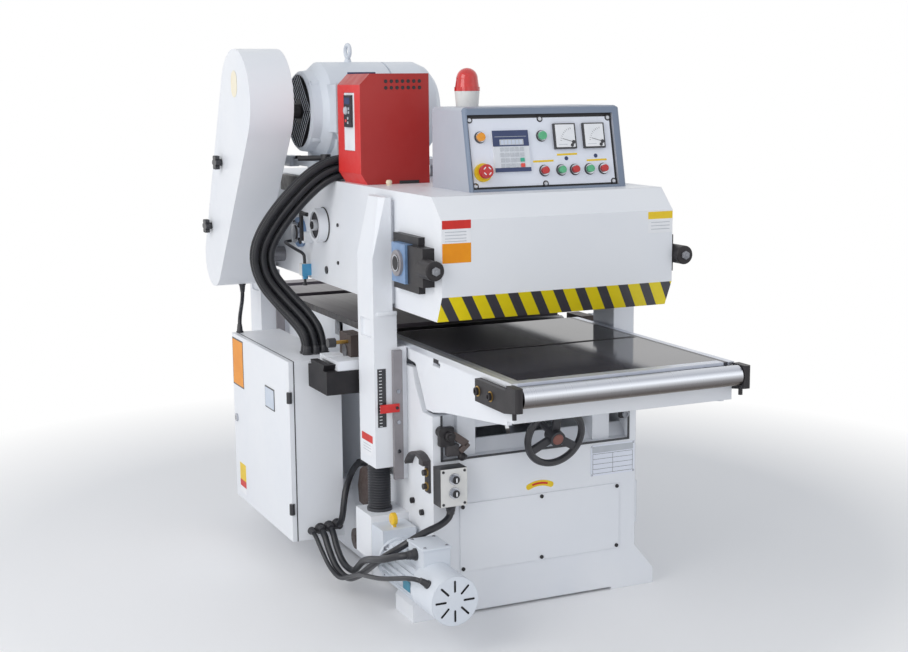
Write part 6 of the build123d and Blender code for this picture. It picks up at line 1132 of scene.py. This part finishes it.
# strain reliefs where the cables leave their housings, and boots on the conduits
reliefs = {"rings": [(0, 0.018), (0.005, 0.018), (0.006, 0.015), (0.012, 0.0146), (0.013, 0.0138), (0.02, 0.0134),
                     (0.021, 0.0126), (0.03, 0.0114)], "slim": 0.7, "fanOut": (-0.0245, 0.0, 0.0172)}
boot = [(0, 0.018), (0.006, 0.018), (0.007, 0.015), (0.011, 0.0156), (0.012, 0.0143), (0.016, 0.0149),
        (0.017, 0.0137), (0.021, 0.0142), (0.022, 0.0131), (0.028, 0.0126)]

slim = [(height, radius * reliefs["slim"]) for height, radius in reliefs["rings"]]
cableEnds = {name: (cable["points"][0], cable["points"][-1]) for name, cable in cables.items()}
fanOut = Vector(reliefs["fanOut"]).normalized()
put(lathe("cableReliefs", reliefs["rings"], "blackPlastic"), "base",
    *[front(*cableEnds[name][0]) for name in ("switchCord", "terminalCord", "wallCord")],
    *[left(*cableEnds[name][1]) for name in ("terminalCord", "wallCord")], below(*cableEnds["switchCord"][1]))
put(lathe("slimReliefs", slim, "blackPlastic"), "base", front(*cableEnds["fanCord"][0]),
    stand(cableEnds["fanCord"][1], (0, 1, 0), fanOut.cross(Vector((0, 1, 0)))))
put(lathe("conduitBootsLow", boot, "blackPlastic", sides=20), "base",
    *[top(*route[-1]) for route in bundle.values()])
put(lathe("conduitBootsHigh", boot, "blackPlastic", sides=20), "head",
    *[left(*route[0]) for route in bundle.values()])
put(lathe("guardBootHigh", slim, "blackPlastic", sides=20), "head", below(*guardLead["points"][0]))
put(lathe("guardBootLow", slim, "blackPlastic", sides=20), "base", top(*guardLead["points"][-1]))
print("strain reliefs set")


# floor, sky and lamps

room = {"floor": 14.0, "near": 1.5, "far": 2.6, "fill": 0.66, "floorColour": (0.92, 0.92, 0.93, 1),
        "floorRough": 0.9, "skyColour": (0.93, 0.96, 1.0, 1), "white": (1, 1, 1, 1)}


def seenMask(tree):  # the rays that show a background: to the camera, off metal and through glass
    rays = addNode(tree, "ShaderNodeLightPath").outputs
    seen = mathNode(tree, "MAXIMUM", rays["Is Camera Ray"], rays["Is Glossy Ray"])
    return mathNode(tree, "MAXIMUM", seen, rays["Is Transmission Ray"])


def blendInto(tree, end, factor, first, second):
    both = addNode(tree, "ShaderNodeMixShader", {0: factor, 1: first.outputs[0], 2: second.outputs[0]})
    feed(tree, tree.nodes[end].inputs["Surface"], both.outputs[0])


clearPick()
bpy.ops.mesh.primitive_plane_add(size=room["floor"], location=(0, 0, 0))
floor = bpy.context.object
floor.name = "studioFloor"
material = bpy.data.materials.new("studioFloor")
material.use_nodes = True
tree = material.node_tree
matte = tree.nodes["Principled BSDF"]
matte.inputs["Base Color"].default_value = room["floorColour"]
matte.inputs["Roughness"].default_value = room["floorRough"]
away = addNode(tree, "ShaderNodeVectorMath", {0: objectPlace(tree)}, operation="LENGTH").outputs["Value"]
fade = rangeNode(tree, away, room["near"], room["far"])
glow = addNode(tree, "ShaderNodeEmission")
blendInto(tree, "Material Output", mathNode(tree, "MULTIPLY", fade, seenMask(tree)), matte, glow)
floor.data.materials.append(material)

sky = bpy.data.worlds.new("studioSky")
scene.world = sky
sky.use_nodes = True
tree = sky.node_tree
plain = tree.nodes["Background"]
plain.inputs["Color"].default_value = room["skyColour"]
plain.inputs["Strength"].default_value = room["fill"]
white = addNode(tree, "ShaderNodeBackground", {"Color": room["white"], "Strength": 1.0})
blendInto(tree, "World Output", seenMask(tree), plain, white)

lamps = {
    "keyLamp": {"place": (-5.5, -2.2, 4.0), "aim": (0, 0, 0.8), "size": 4.0, "power": 130,
                "colour": (1, 0.985, 0.965)},
    "sideLamp": {"place": (3.5, -5.0, 3.0), "aim": (0, 0, 0.8), "size": 3.5, "power": 10, "colour": (0.95, 0.97, 1)},
    "lowLamp": {"place": (-0.8, -5.2, 0.35), "aim": (0, 0, 0.9), "size": 2.4, "power": 8, "colour": (0.96, 0.98, 1)},
    "leftLamp": {"place": (-4.2, -3.0, 0.9), "aim": (0, 0, 0.8), "size": 2.0, "power": 20,
                 "colour": (0.97, 0.985, 1)},
}

for name, lamp in lamps.items():
    light = bpy.data.lights.new(name, "AREA")
    light.energy = lamp["power"]
    light.size = lamp["size"]
    light.color = lamp["colour"]
    holder = bpy.data.objects.new(name, light)
    scene.collection.objects.link(holder)
    aim = (Vector(lamp["aim"]) - Vector(lamp["place"])).to_track_quat("-Z", "Y").to_matrix().to_4x4()
    holder.matrix_world = Matrix.Translation(lamp["place"]) @ aim
print("studio set")
